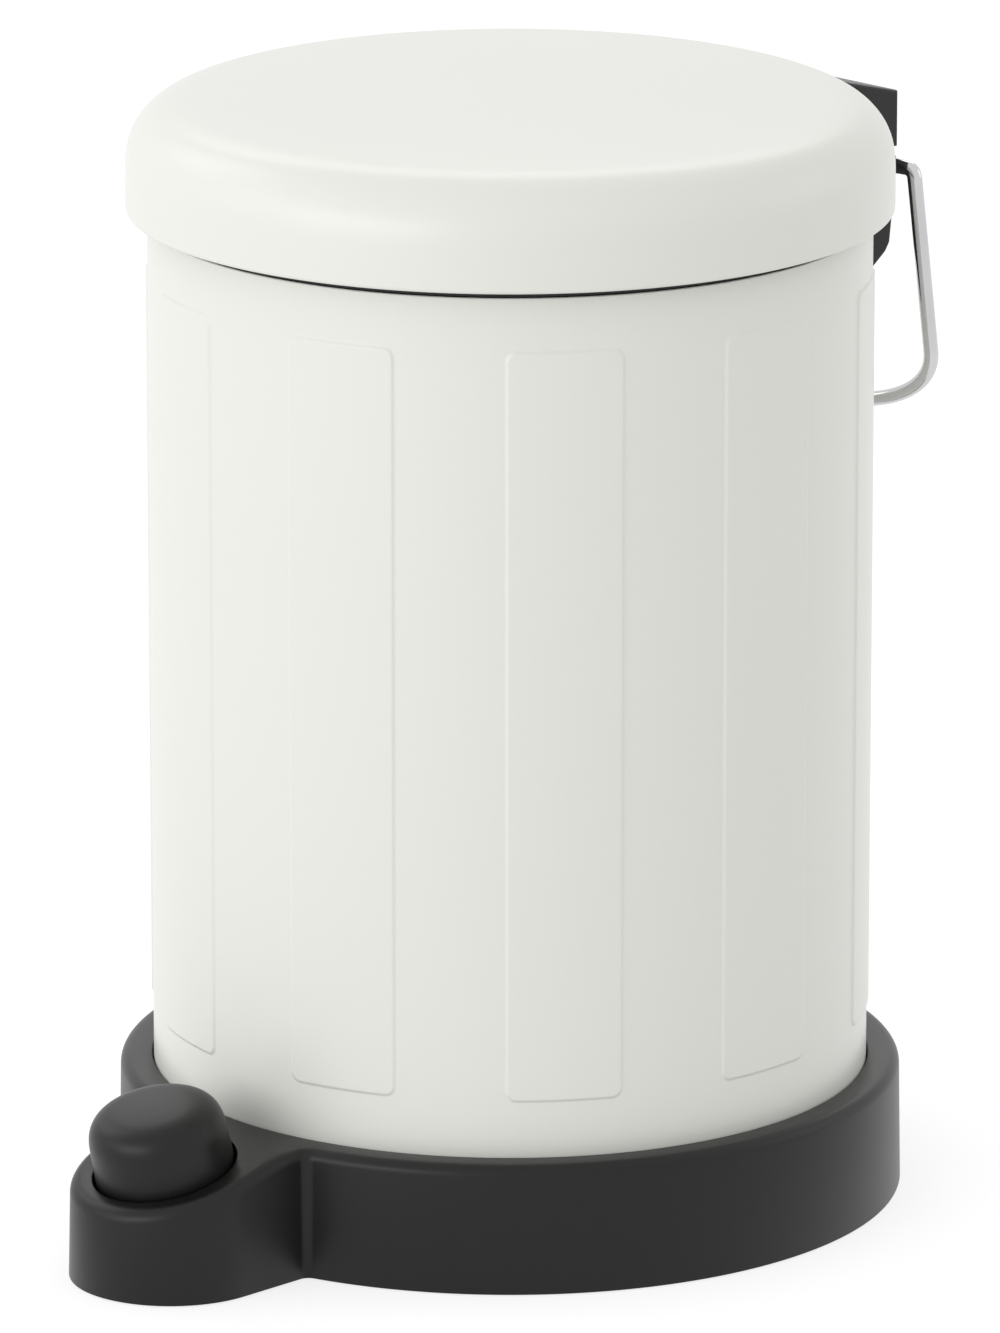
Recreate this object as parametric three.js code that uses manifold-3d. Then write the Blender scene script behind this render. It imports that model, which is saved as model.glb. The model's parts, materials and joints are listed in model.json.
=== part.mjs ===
// A five-litre pedal bin: a white steel tube with ten raised panels stands in a dark plastic base,
// whose lobe holds a round pedal button. The button tips a lever under the deck, the lever lifts
// a cranked rod up the back, and the rod turns the lid about a pin behind the body. A wire bail
// hangs from the ends of the same bore, and a plastic bucket with its own handle hangs inside.
//
// Millimetres, +Z up. The origin is on the bin's axis, on the floor. The pedal is at -Y and the
// hinge at +Y, so that +X is the bin's right side seen from behind the pedal.

import * as THREE from "three";
import { mergeVertices } from "three/addons/utils/BufferGeometryUtils.js";
import Module from "manifold-3d";

// ---------------------------------------------------------------- driving dimensions

// The steel body, and its raised panels, spread evenly with a gap at the front and the back.
const BODY_RADIUS = 93.3;
const BODY_WALL = 0.8;
const BODY_HEIGHT = 228.1;
const PANEL_COUNT = 10;
const PANEL_ANGLE = 18.2;
const PANEL_RISE = 0.5;
const PANEL_FOOT_MARGIN = 14.8;
const PANEL_HEAD_MARGIN = 14;
const PANEL_CORNER = 2.6;

// The base housing: a round skirt with a lobe to the front, and a deck that the bucket stands on.
const BASE_LEDGE = 9.2;
const BASE_HEIGHT = 34;
const BASE_DRAFT = 0.5;
const BASE_EDGE = 3;
const BASE_WALL = 2.2;
const DECK_DROP = 2;
const DECK_THICKNESS = 4.2;
const GROOVE_DEPTH = 4;
const LOBE_HALF_WIDTH = 26.6;
const LOBE_REACH = 18.5;
const LOBE_FILLET = 4;
const LOBE_SLOPE = 14.3;
const LOBE_LEVEL_REACH = 4;
const LOBE_TOP_WALL = 2.4;
const PLATE_THICKNESS = 2.4;
const PLATE_SCREW_INSET = 20.5;

// The pedal button, square to the lobe's sloping top.
const BUTTON_REACH = 21.2;
const BUTTON_RADIUS = 18.2;
const BUTTON_HEIGHT = 17.7;
const BUTTON_SIDE = 10.3;
const BUTTON_EDGE = 6.8;
const BUTTON_WALL = 2.2;
const BUTTON_SKIRT = 8;
const BUTTON_GAP = 0.45;
const STEM_RADIUS = 4;
const STEM_LENGTH = 10;
const SLEEVE_WALL = 1.8;
const SLEEVE_DEPTH = 7;

// The pedal lever and its pin under the deck.
const LEVER_PIVOT_Y = -30.3;
const LEVER_PIVOT_Z = 12;
const LEVER_REAR_Z = 5;
const LEVER_WIDTH = 14;
const LEVER_THICKNESS = 3;
const LEVER_EYE_RADIUS = 5.2;
const LEVER_PIN_RADIUS = 2.5;
const CHEEK_THICKNESS = 5;
const CLIP_THICKNESS = 1;
const CLIP_RADIUS = 4.6;

// The push rod: a round wire inside the back wall, cranked out to the hinge at its top.
const ROD_RADIUS = 2;
const ROD_WALL_SPACE = 3.9;
const ROD_CRANK_DROP = 35;
const ROD_CRANK_RISE = 14;
const ROD_BEND = 5;
const ROD_TIP_RADIUS = 3.2;
const ROD_TIP_CAP = 2;
const ROD_TRAVEL = 16.9;
const GUIDE_HEIGHT = 16;
const GUIDE_HALF_WIDTH = 8;
const GUIDE_BACK_WALL = 1.8;
const LOWER_GUIDE_RISE = 60;
const UPPER_GUIDE_DROP = 34;

// The collar on the body's top edge, and the bucket that hangs in it.
const COLLAR_BAND = 1.7;
const COLLAR_LIP_HEIGHT = 3.2;
const COLLAR_LIP_WALL = 1;
const COLLAR_LIP_SETBACK = 1.5;
const COLLAR_LEDGE_WIDTH = 7.9;
const COLLAR_LEDGE_DROP = 0.2;
const COLLAR_LEDGE_THICKNESS = 1.8;
const BUCKET_TAPER = 7;
const BUCKET_FOOT_EDGE = 5;
const BUCKET_WALL = 1.5;
const BUCKET_FLOOR = 2;
const BUCKET_RIM_THICKNESS = 1.8;
const BUCKET_HANDLE_RADIUS = 1.5;
const BUCKET_EAR_THICKNESS = 3.4;
const BUCKET_EAR_HALF_LENGTH = 5;

// The lid: a short straight rim, a round shoulder and a nearly flat crown.
const LID_OVERHANG = 5.6;
const LID_LIFT = 2.2;
const LID_RIM_HEIGHT = 13.2;
const LID_SHOULDER_RADIUS = 14.8;
const LID_HEIGHT = 30.4;
const LID_WALL = 0.8;
const LID_HEM_RADIUS = 0.9;

// The hinge: two brackets behind the lid and the body, turning on one pin.
const HINGE_DROP = 3.6;
const HINGE_REACH = 19.5;
const KNUCKLE_RADIUS = 3.7;
const BRACKET_HALF_WIDTH = 25;
const BRACKET_EDGE = 0.9;
const BODY_BRACKET_TAPER = 2.6;
const BODY_BRACKET_DROP = 22.4;
const BODY_BRACKET_CORNER = 1.6;
const BODY_BRACKET_UNDERCUT = 36.4;
const LID_BRACKET_HEIGHT = 15.1;
const LID_BRACKET_SLOPE = 14.8;
const LID_KNUCKLE_HALF_WIDTH = 6.1;
const ARM_LENGTH = 13.88;
const ARM_START_ANGLE = 37.5;
const ARM_NOSE_RADIUS = 2.5;
const ARM_HALF_HEIGHT = 1.8;
const ARM_HALF_WIDTH = 3.5;
const BRACKET_OVERLAP = 12;
const CAVITY_FLOOR_SPACE = 4.8;
const CAVITY_BACK_SPACE = 2;
const CAVITY_TOP_DROP = 12.6;
const KNUCKLE_SPACE_DROP = 7.5;
const HINGE_PIN_HALF_LENGTH = 17;
const BRACKET_SCREW_ANGLE = 10;
const BRACKET_SCREW_DROP = 13.6;
const LID_SCREW_DROP = 5.8;

// The bail, a wire hoop that hangs behind the body.
const BAIL_RADIUS = 2;
const BAIL_TOP_HALF_WIDTH = 34.2;
const BAIL_LEG_HALF_WIDTH = 40.9;
const BAIL_LEG_DROP = 47.5;
const BAIL_DROP = 66.4;
const BAIL_CORNER = 11.7;
const BAIL_BELLY = 22.5;
const BAIL_TOP_BEND = 3.4;

// Fasteners.
const PLATE_SCREW = { shank: 1.3, length: 12, head: 3.4, headHeight: 1.1 };
const WALL_SCREW = { shank: 1.5, length: 9, head: 3.2, headHeight: 1.5 };

// Clearances.
const SEAT_GAP = 0.3;
const BORE_GAP = 0.25;
const SLIDE_GAP = 0.5;
const CONTACT_GAP = 0.4;

// ---------------------------------------------------------------- places worked out from them

const radians = THREE.MathUtils.degToRad;
const BODY_INNER_RADIUS = BODY_RADIUS - BODY_WALL;
const BASE_RADIUS = BODY_RADIUS + BASE_LEDGE;
const DECK_Z = BASE_HEIGHT - DECK_DROP;
const DECK_UNDERSIDE_Z = DECK_Z - DECK_THICKNESS;
const BODY_BOTTOM_Z = BASE_HEIGHT - GROOVE_DEPTH + SEAT_GAP;
const BODY_TOP_Z = BODY_BOTTOM_Z + BODY_HEIGHT;
const PANEL_BOTTOM_Z = BASE_HEIGHT + PANEL_FOOT_MARGIN;
const PANEL_TOP_Z = BODY_TOP_Z - PANEL_HEAD_MARGIN;
const LOBE_CENTRE = BASE_RADIUS + LOBE_REACH;
const LOBE_START = BASE_RADIUS + LOBE_LEVEL_REACH;
const BUTTON_CENTRE = BASE_RADIUS + BUTTON_REACH;
const LOBE_RISE = Math.tan(radians(LOBE_SLOPE));
const LID_RADIUS = BODY_RADIUS + LID_OVERHANG;
const LID_EDGE_Z = BODY_TOP_Z + LID_LIFT;
const LID_SHOULDER_Z = LID_EDGE_Z + LID_RIM_HEIGHT;
const LID_APEX_Z = LID_EDGE_Z + LID_HEIGHT;
const HINGE_BACK_Y = LID_RADIUS + HINGE_REACH;
const HINGE_Y = HINGE_BACK_Y - KNUCKLE_RADIUS;
const HINGE_Z = LID_EDGE_Z - HINGE_DROP;
const HINGE_BORE_RADIUS = BAIL_RADIUS + BORE_GAP;
const COLLAR_FLANGE_Z = BODY_TOP_Z + SEAT_GAP;
const COLLAR_LEDGE_Z = BODY_TOP_Z - COLLAR_LEDGE_DROP;
const COLLAR_LIP_RADIUS = BODY_RADIUS - COLLAR_LIP_SETBACK;
const COLLAR_LEDGE_RADIUS = BODY_RADIUS - COLLAR_LEDGE_WIDTH;
const BUCKET_RIM_RADIUS = COLLAR_LIP_RADIUS - COLLAR_LIP_WALL - SLIDE_GAP;
const BUCKET_TOP_RADIUS = COLLAR_LEDGE_RADIUS - CONTACT_GAP;
const BUCKET_FOOT_RADIUS = BUCKET_TOP_RADIUS - BUCKET_TAPER;
const BUCKET_RIM_TOP_Z = COLLAR_LEDGE_Z + SEAT_GAP + BUCKET_RIM_THICKNESS;
const LID_BRACKET_BOTTOM_Z = HINGE_Z + KNUCKLE_RADIUS + CONTACT_GAP;
const NOSE_Y = HINGE_Y - ARM_LENGTH * Math.cos(radians(ARM_START_ANGLE));
const NOSE_Z = HINGE_Z - ARM_LENGTH * Math.sin(radians(ARM_START_ANGLE));
const ROD_TIP_TOP_Z = NOSE_Z - ARM_NOSE_RADIUS - CONTACT_GAP;
const ROD_Y = BODY_INNER_RADIUS - ROD_WALL_SPACE;
const ROD_TOP_Y = HINGE_Y - (ARM_LENGTH + HINGE_Y - NOSE_Y) / 2;
const ROD_CRANK_Z = HINGE_Z - ROD_CRANK_DROP;

// Height of the lobe's sloping top at a place along Y, carried on over the whole base.
function lobeTopZ(y) {
  return BASE_HEIGHT + LOBE_RISE * (y + LOBE_START);
}

const BUTTON_SEAT_Z = lobeTopZ(-BUTTON_CENTRE);
const LEVER_FRONT_Y = -BUTTON_CENTRE + 2;
const LEVER_FRONT_DROP = (STEM_LENGTH + CONTACT_GAP + LEVER_THICKNESS / 2) / Math.cos(radians(LOBE_SLOPE));
const LEVER_FRONT_Z = lobeTopZ(LEVER_FRONT_Y) - LEVER_FRONT_DROP;
const LEVER_REAR_Y = ROD_Y + ROD_RADIUS + 3;

// Height of the lever's upper face at a place along Y behind its pivot.
function leverTopZ(y) {
  const fall = (LEVER_PIVOT_Z - LEVER_REAR_Z) / (LEVER_REAR_Y - LEVER_PIVOT_Y);
  return LEVER_REAR_Z + fall * (LEVER_REAR_Y - y) + LEVER_THICKNESS / 2;
}

const ROD_FOOT_Z = leverTopZ(ROD_Y - ROD_RADIUS) + SEAT_GAP;

// ---------------------------------------------------------------- materials

const paintedSteel = new THREE.MeshStandardMaterial({ color: 0xeceee8, roughness: 0.38, metalness: 0 });
const darkPlastic = new THREE.MeshStandardMaterial({ color: 0x3c3c3a, roughness: 0.55, metalness: 0 });
const bucketPlastic = new THREE.MeshStandardMaterial({ color: 0x2f3031, roughness: 0.6, metalness: 0 });
const chromeWire = new THREE.MeshStandardMaterial({ color: 0xd4d5d6, roughness: 0.1, metalness: 1 });
const zincSteel = new THREE.MeshStandardMaterial({ color: 0xa7a9ab, roughness: 0.4, metalness: 1 });

// ---------------------------------------------------------------- helpers for solids

const wasm = await Module();
wasm.setup();

// A closed geometry as a solid that can be joined and cut.
function solid(geometry) {
  const bare = new THREE.BufferGeometry();
  bare.setAttribute("position", geometry.getAttribute("position"));
  bare.setIndex(geometry.index);
  const merged = mergeVertices(bare, 1e-4);
  const corners = merged.index.array;
  const kept = [];
  for (let i = 0; i < corners.length; i += 3) {
    const [a, b, c] = [corners[i], corners[i + 1], corners[i + 2]];
    if (a !== b && b !== c && c !== a) kept.push(a, b, c);
  }
  const vertProperties = merged.getAttribute("position").array;
  return new wasm.Manifold(new wasm.Mesh({ numProp: 3, vertProperties, triVerts: Uint32Array.from(kept) }));
}

function surface(made) {
  const { vertProperties, triVerts } = made.getMesh();
  const geometry = new THREE.BufferGeometry();
  geometry.setAttribute("position", new THREE.BufferAttribute(vertProperties, 3));
  geometry.setIndex(new THREE.BufferAttribute(triVerts, 1));
  const flat = geometry.toNonIndexed();
  flat.computeVertexNormals();
  return flat;
}

const join = (first, ...others) => others.reduce((sum, geometry) => sum.add(solid(geometry)), first);
const cut = (first, ...others) => others.reduce((rest, geometry) => rest.subtract(solid(geometry)), first);

// Points of an arc in a plane, both ends included.
function arc(x, y, radius, from, to, steps) {
  return Array.from({ length: steps + 1 }, (_, i) => {
    const angle = from + ((to - from) * i) / steps;
    return new THREE.Vector2(x + radius * Math.cos(angle), y + radius * Math.sin(angle));
  });
}

const flatPoints = (pairs) => pairs.map(([x, y]) => new THREE.Vector2(x, y));

// A turned piece about Z. The profile holds (radius, height) points: outside up, inside down.
function turned(profile, segments) {
  return new THREE.LatheGeometry(profile, segments).rotateX(Math.PI / 2);
}

// A turned ring from a closed profile.
function turnedRing(profile, segments) {
  return turned([...profile, profile[0]], segments);
}

function tubeProfile(innerRadius, outerRadius, bottom, top) {
  return flatPoints([
    [innerRadius, bottom],
    [outerRadius, bottom],
    [outerRadius, top],
    [innerRadius, top],
  ]);
}

// Round bars along Z and along X, by their middle.
function barZ(radius, bottom, top, segments) {
  return new THREE.CylinderGeometry(radius, radius, top - bottom, segments)
    .rotateX(Math.PI / 2)
    .translate(0, 0, (top + bottom) / 2);
}

function barX(radius, left, right, y, z, segments) {
  return new THREE.CylinderGeometry(radius, radius, right - left, segments)
    .rotateZ(Math.PI / 2)
    .translate((left + right) / 2, y, z);
}

function block(x, y, z) {
  return new THREE.BoxGeometry(x[1] - x[0], y[1] - y[0], z[1] - z[0])
    .translate((x[0] + x[1]) / 2, (y[0] + y[1]) / 2, (z[0] + z[1]) / 2);
}

// A slab with its outline in the Y-Z plane and its thickness along X, centred on X = 0.
function sideSlab(outline, halfWidth, edge = 0) {
  const geometry = new THREE.ExtrudeGeometry(new THREE.Shape(outline), {
    depth: 2 * (halfWidth - edge),
    bevelEnabled: edge > 0,
    bevelThickness: edge,
    bevelSize: edge,
    bevelOffset: -edge,
    bevelSegments: 2,
  });
  const turn = new THREE.Matrix4().makeBasis(
    new THREE.Vector3(0, 1, 0),
    new THREE.Vector3(0, 0, 1),
    new THREE.Vector3(1, 0, 0),
  );
  return geometry.applyMatrix4(turn).translate(-(halfWidth - edge), 0, 0);
}

// Outside of a domed cap, from its straight side to the axis: a shoulder arc that runs smoothly
// into a crown arc through the apex.
function domeProfile(radius, shoulderZ, shoulderRadius, apexZ, shoulderSteps, crownSteps) {
  const across = radius - shoulderRadius;
  const low = apexZ - shoulderRadius;
  const crownZ = (low ** 2 - shoulderZ ** 2 - across ** 2) / (2 * (low - shoulderZ));
  const meet = Math.atan2(shoulderZ - crownZ, across);
  const shoulder = arc(across, shoulderZ, shoulderRadius, 0, meet, shoulderSteps);
  const crown = arc(0, crownZ, apexZ - crownZ, meet, Math.PI / 2, crownSteps).slice(1);
  crown[crown.length - 1].set(0, apexZ);
  return [...shoulder, ...crown];
}

// A wire keeps the points it is given as its rings: close in the bends, far apart on straights.
class WirePath extends THREE.Curve {
  constructor(points) {
    super();
    this.points = points;
  }

  getUtoTmapping(u) {
    return u;
  }

  getPoint(t, target = new THREE.Vector3()) {
    const at = t * (this.points.length - 1);
    const i = Math.min(Math.floor(at), this.points.length - 2);
    return target.lerpVectors(this.points[i], this.points[i + 1], at - i);
  }
}

function wire(points, radius, sides) {
  const section = new THREE.Shape(arc(0, 0, radius, 0, 2 * Math.PI, sides).slice(0, -1));
  return new THREE.ExtrudeGeometry(section, {
    steps: points.length - 1,
    extrudePath: new WirePath(points),
    bevelEnabled: false,
  });
}

// Straight runs between corners, each inner corner rounded by starting its bend `reach` before it.
function bentRun(corners, reaches, stepsPerBend) {
  const points = [corners[0]];
  for (let i = 1; i < corners.length - 1; i += 1) {
    const back = corners[i - 1].clone().sub(corners[i]).setLength(reaches[i - 1]);
    const ahead = corners[i + 1].clone().sub(corners[i]).setLength(reaches[i - 1]);
    const bend = new THREE.QuadraticBezierCurve3(
      corners[i].clone().add(back),
      corners[i],
      corners[i].clone().add(ahead),
    );
    points.push(...bend.getPoints(stepsPerBend));
  }
  points.push(corners[corners.length - 1]);
  return points;
}

// A countersunk or pan-headed screw along Z, its head's outer face at Z = 0 and its shank below.
function screw(size) {
  return turned(
    flatPoints([
      [0, -size.headHeight - size.length],
      [size.shank * 0.5, -size.headHeight - size.length],
      [size.shank, -size.headHeight - size.length + size.shank],
      [size.shank, -size.headHeight],
      [size.head, -size.headHeight],
      [size.head, -size.headHeight * 0.5],
      [size.head * 0.8, 0],
      [0, 0],
    ]),
    14,
  );
}

const bin = new THREE.Group();

function addPiece(parent, name, geometry, material) {
  const mesh = new THREE.Mesh(geometry, material);
  mesh.name = name;
  parent.add(mesh);
  return mesh;
}

// ---------------------------------------------------------------- base

const base = new THREE.Group();
bin.add(base);

// Plan outline of the base, `inset` inside its widest line: a circle, and a lobe to the front
// that a hollow fillet joins to it on each side.
function basePlan(inset) {
  const ringRadius = BASE_RADIUS - inset;
  const halfWidth = LOBE_HALF_WIDTH - inset;
  const fillet = LOBE_FILLET + inset;
  const filletX = halfWidth + fillet;
  const filletY = -Math.sqrt((ringRadius + fillet) ** 2 - filletX ** 2);
  const turn = Math.atan2(filletY, filletX);
  return [
    ...arc(0, 0, ringRadius, turn, Math.PI - turn, 84).slice(0, -1),
    ...arc(-filletX, filletY, fillet, -turn, 0, 4),
    ...arc(0, -LOBE_CENTRE, halfWidth, Math.PI, 2 * Math.PI, 20),
    ...arc(filletX, filletY, fillet, Math.PI, Math.PI + turn, 4).slice(0, -1),
  ];
}

// A solid with the base's plan at every level. A level is an inset and its height at a place in Y.
function basePad(levels) {
  const rings = levels.map(({ inset, z }) => basePlan(inset).map((p) => [p.x, p.y, z(p.y)]));
  const count = rings[0].length;
  const index = [];
  for (let level = 0; level < rings.length - 1; level += 1) {
    for (let i = 0; i < count; i += 1) {
      const a = level * count + i;
      const b = level * count + ((i + 1) % count);
      index.push(a, b, b + count, a, b + count, a + count);
    }
  }
  const cap = THREE.ShapeUtils.triangulateShape(basePlan(levels[0].inset), []);
  const top = THREE.ShapeUtils.triangulateShape(basePlan(levels[levels.length - 1].inset), []);
  const lift = (rings.length - 1) * count;
  cap.forEach(([a, b, c]) => index.push(c, b, a));
  top.forEach(([a, b, c]) => index.push(a + lift, b + lift, c + lift));
  const geometry = new THREE.BufferGeometry();
  geometry.setAttribute("position", new THREE.Float32BufferAttribute(rings.flat(2), 3));
  geometry.setIndex(index);
  return geometry;
}

// The base's outside below a given top, with a little draft and a rounded top edge.
function basePadUnder(topZ) {
  const steps = 3;
  const rounded = Array.from({ length: steps + 1 }, (_, i) => {
    const angle = ((Math.PI / 2) * i) / steps;
    return {
      inset: BASE_DRAFT + BASE_EDGE * (1 - Math.cos(angle)),
      z: (y) => topZ(y) - BASE_EDGE * (1 - Math.sin(angle)),
    };
  });
  return basePad([{ inset: 0, z: () => 0 }, ...rounded]);
}

function baseVoidUnder(topZ) {
  return basePad([
    { inset: BASE_WALL, z: () => -1 },
    { inset: BASE_WALL + BASE_DRAFT, z: topZ },
  ]);
}

// Sets an upright geometry on the lobe's sloping top, square to it, at the button's centre.
function onLobe(geometry) {
  return geometry.rotateX(radians(LOBE_SLOPE)).translate(0, -BUTTON_CENTRE, BUTTON_SEAT_Z);
}

const plateScrewPlaces = [-1, 1].flatMap((x) =>
  [-1, 1].map((y) => new THREE.Vector3(x, y, 0).setLength(BASE_RADIUS - PLATE_SCREW_INSET)),
);
const plateCounterboreZ = PLATE_SCREW.headHeight + 2 * SEAT_GAP;
const cheekInner = LEVER_WIDTH / 2 + SLIDE_GAP;
const cheekOuter = cheekInner + CHEEK_THICKNESS;
const pinBoreRadius = LEVER_PIN_RADIUS + BORE_GAP;
const buttonHoleRadius = BUTTON_RADIUS + BUTTON_GAP;

function baseHousing() {
  const outside = solid(basePadUnder(() => BASE_HEIGHT)).intersect(solid(basePadUnder(lobeTopZ)));
  const hollow = solid(baseVoidUnder(() => DECK_UNDERSIDE_Z)).intersect(
    solid(baseVoidUnder((y) => lobeTopZ(y) - LOBE_TOP_WALL)),
  );
  const rimRelief = turnedRing(
    tubeProfile(
      BODY_RADIUS + PANEL_RISE + BASE_WALL,
      BASE_RADIUS - BASE_DRAFT - BASE_WALL,
      DECK_UNDERSIDE_Z - 2,
      BASE_HEIGHT - BASE_WALL,
    ),
    72,
  );
  const sleeve = onLobe(barZ(buttonHoleRadius + SLEEVE_WALL, -SLEEVE_DEPTH - 1, -LOBE_TOP_WALL * 0.7, 40));
  const cheekBottom = LEVER_PIVOT_Z - LEVER_EYE_RADIUS;
  const cheekY = [LEVER_PIVOT_Y - 8, LEVER_PIVOT_Y + 8];
  const cheekZ = [cheekBottom, DECK_UNDERSIDE_Z + 1];
  const bosses = plateScrewPlaces.map((place) =>
    barZ(4.5, PLATE_THICKNESS + SEAT_GAP, DECK_UNDERSIDE_Z + 1, 16).translate(place.x, place.y, 0),
  );
  const filled = join(
    outside.subtract(hollow).subtract(solid(rimRelief)),
    sleeve,
    block([-cheekOuter, -cheekInner], cheekY, cheekZ),
    block([cheekInner, cheekOuter], cheekY, cheekZ),
    ...bosses,
  );
  const pilots = plateScrewPlaces.map((place) =>
    barZ(PLATE_SCREW.shank + SEAT_GAP, PLATE_THICKNESS, PLATE_SCREW.length + 4, 10).translate(place.x, place.y, 0),
  );
  return cut(
    filled,
    turnedRing(
      tubeProfile(
        BODY_INNER_RADIUS - SEAT_GAP,
        BODY_RADIUS + CONTACT_GAP,
        BASE_HEIGHT - GROOVE_DEPTH,
        BASE_HEIGHT + 1,
      ),
      96,
    ),
    barZ(BODY_INNER_RADIUS, DECK_Z, BASE_HEIGHT + 1, 96),
    onLobe(barZ(buttonHoleRadius, -SLEEVE_DEPTH - 4, 6, 40)),
    barZ(ROD_RADIUS + SLIDE_GAP, DECK_UNDERSIDE_Z - 1, DECK_Z + 1, 16).translate(0, ROD_Y, 0),
    barX(pinBoreRadius, -cheekOuter - 1, cheekOuter + 1, LEVER_PIVOT_Y, LEVER_PIVOT_Z, 20),
    ...pilots,
  );
}

addPiece(base, "base_housing", surface(baseHousing()), darkPlastic);

// The flat cover under the mechanism, flush with the housing's bottom edge.
function basePlate() {
  const inset = BASE_WALL + SEAT_GAP + BASE_DRAFT;
  const plate = basePad([
    { inset, z: () => 0 },
    { inset, z: () => PLATE_THICKNESS },
  ]);
  const holes = plateScrewPlaces.flatMap((place) => [
    barZ(PLATE_SCREW.shank + SEAT_GAP, -1, PLATE_THICKNESS + 1, 12).translate(place.x, place.y, 0),
    barZ(PLATE_SCREW.head + SEAT_GAP, -1, plateCounterboreZ, 16).translate(place.x, place.y, 0),
  ]);
  return cut(solid(plate), ...holes);
}

addPiece(base, "base_plate", surface(basePlate()), darkPlastic);

// The screws come up from below, with their heads sunk in the plate.
plateScrewPlaces.forEach((place, i) => {
  const mesh = addPiece(base, `base_screw_${i + 1}`, screw(PLATE_SCREW), zincSteel);
  mesh.position.set(place.x, place.y, SEAT_GAP);
  mesh.rotation.x = Math.PI;
});

// ---------------------------------------------------------------- pedal

const pedal = new THREE.Group();
bin.add(pedal);

// The button is a hollow cap with a stem that stands on the lever.
function pedalButton() {
  const outer = domeProfile(BUTTON_RADIUS - 0.5, BUTTON_SIDE, BUTTON_EDGE, BUTTON_HEIGHT, 6, 4);
  const inner = domeProfile(
    BUTTON_RADIUS - 0.5 - BUTTON_WALL,
    BUTTON_SIDE,
    BUTTON_EDGE - BUTTON_WALL,
    BUTTON_HEIGHT - BUTTON_WALL,
    5,
    3,
  ).reverse();
  const innerBottom = new THREE.Vector2(BUTTON_RADIUS - BUTTON_WALL, -BUTTON_SKIRT);
  const outerBottom = new THREE.Vector2(BUTTON_RADIUS, -BUTTON_SKIRT);
  const cap = turned([...inner, innerBottom, outerBottom, ...outer], 40);
  return join(solid(cap), barZ(STEM_RADIUS, -STEM_LENGTH, BUTTON_HEIGHT - BUTTON_WALL / 2, 16));
}

const button = addPiece(pedal, "pedal_button", surface(pedalButton()), darkPlastic);
button.position.set(0, -BUTTON_CENTRE, BUTTON_SEAT_Z);
button.rotation.x = radians(LOBE_SLOPE);

// The lever: a steel strip from under the button to under the rod, with an eye for its pin.
function pedalLever() {
  const half = LEVER_THICKNESS / 2;
  const strip = sideSlab(
    flatPoints([
      [LEVER_FRONT_Y, LEVER_FRONT_Z - half],
      [LEVER_PIVOT_Y, LEVER_PIVOT_Z - half],
      [LEVER_REAR_Y, LEVER_REAR_Z - half],
      [LEVER_REAR_Y, LEVER_REAR_Z + half],
      [LEVER_PIVOT_Y, LEVER_PIVOT_Z + half],
      [LEVER_FRONT_Y, LEVER_FRONT_Z + half],
    ]),
    LEVER_WIDTH / 2,
  );
  const tip = barX(half, -LEVER_WIDTH / 2, LEVER_WIDTH / 2, LEVER_FRONT_Y, LEVER_FRONT_Z, 12);
  const eye = barX(LEVER_EYE_RADIUS, -LEVER_WIDTH / 2, LEVER_WIDTH / 2, LEVER_PIVOT_Y, LEVER_PIVOT_Z, 24);
  const bore = barX(pinBoreRadius, -LEVER_WIDTH, LEVER_WIDTH, LEVER_PIVOT_Y, LEVER_PIVOT_Z, 20);
  return cut(join(solid(strip), tip, eye), bore);
}

addPiece(pedal, "pedal_lever", surface(pedalLever()), zincSteel);

const pinHalfLength = cheekOuter + SEAT_GAP + CLIP_THICKNESS + 1.5;
addPiece(
  pedal,
  "lever_pin",
  barX(LEVER_PIN_RADIUS, -pinHalfLength, pinHalfLength, LEVER_PIVOT_Y, LEVER_PIVOT_Z, 20),
  zincSteel,
);

// A spring clip is an open ring on each end of the pin.
function pinClip() {
  const opening = 0.6;
  const outline = new THREE.Shape([
    ...arc(0, 0, CLIP_RADIUS, opening, 2 * Math.PI - opening, 20),
    ...arc(0, 0, LEVER_PIN_RADIUS + SEAT_GAP, 2 * Math.PI - opening, opening, 16),
  ]);
  return new THREE.ExtrudeGeometry(outline, { depth: CLIP_THICKNESS, bevelEnabled: false })
    .translate(0, 0, -CLIP_THICKNESS / 2)
    .rotateY(Math.PI / 2);
}

for (const [name, side] of [["lever_clip_left", -1], ["lever_clip_right", 1]]) {
  const clip = addPiece(pedal, name, pinClip(), zincSteel);
  clip.position.set(side * (cheekOuter + SEAT_GAP + CLIP_THICKNESS / 2), LEVER_PIVOT_Y, LEVER_PIVOT_Z);
}

// The push rod and the plastic cap on its top end, which the lid's arm rests on.
const rodTipBottomZ = ROD_TIP_TOP_Z - 8;
const rodTopZ = ROD_TIP_TOP_Z - ROD_TIP_CAP - SEAT_GAP;
const rodPoints = bentRun(
  [
    new THREE.Vector3(0, ROD_Y, ROD_FOOT_Z),
    new THREE.Vector3(0, ROD_Y, ROD_CRANK_Z),
    new THREE.Vector3(0, ROD_TOP_Y, ROD_CRANK_Z + ROD_CRANK_RISE),
    new THREE.Vector3(0, ROD_TOP_Y, rodTopZ),
  ],
  [ROD_BEND, ROD_BEND / 2],
  4,
);
addPiece(pedal, "push_rod", wire(rodPoints, ROD_RADIUS, 12), zincSteel);

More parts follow.
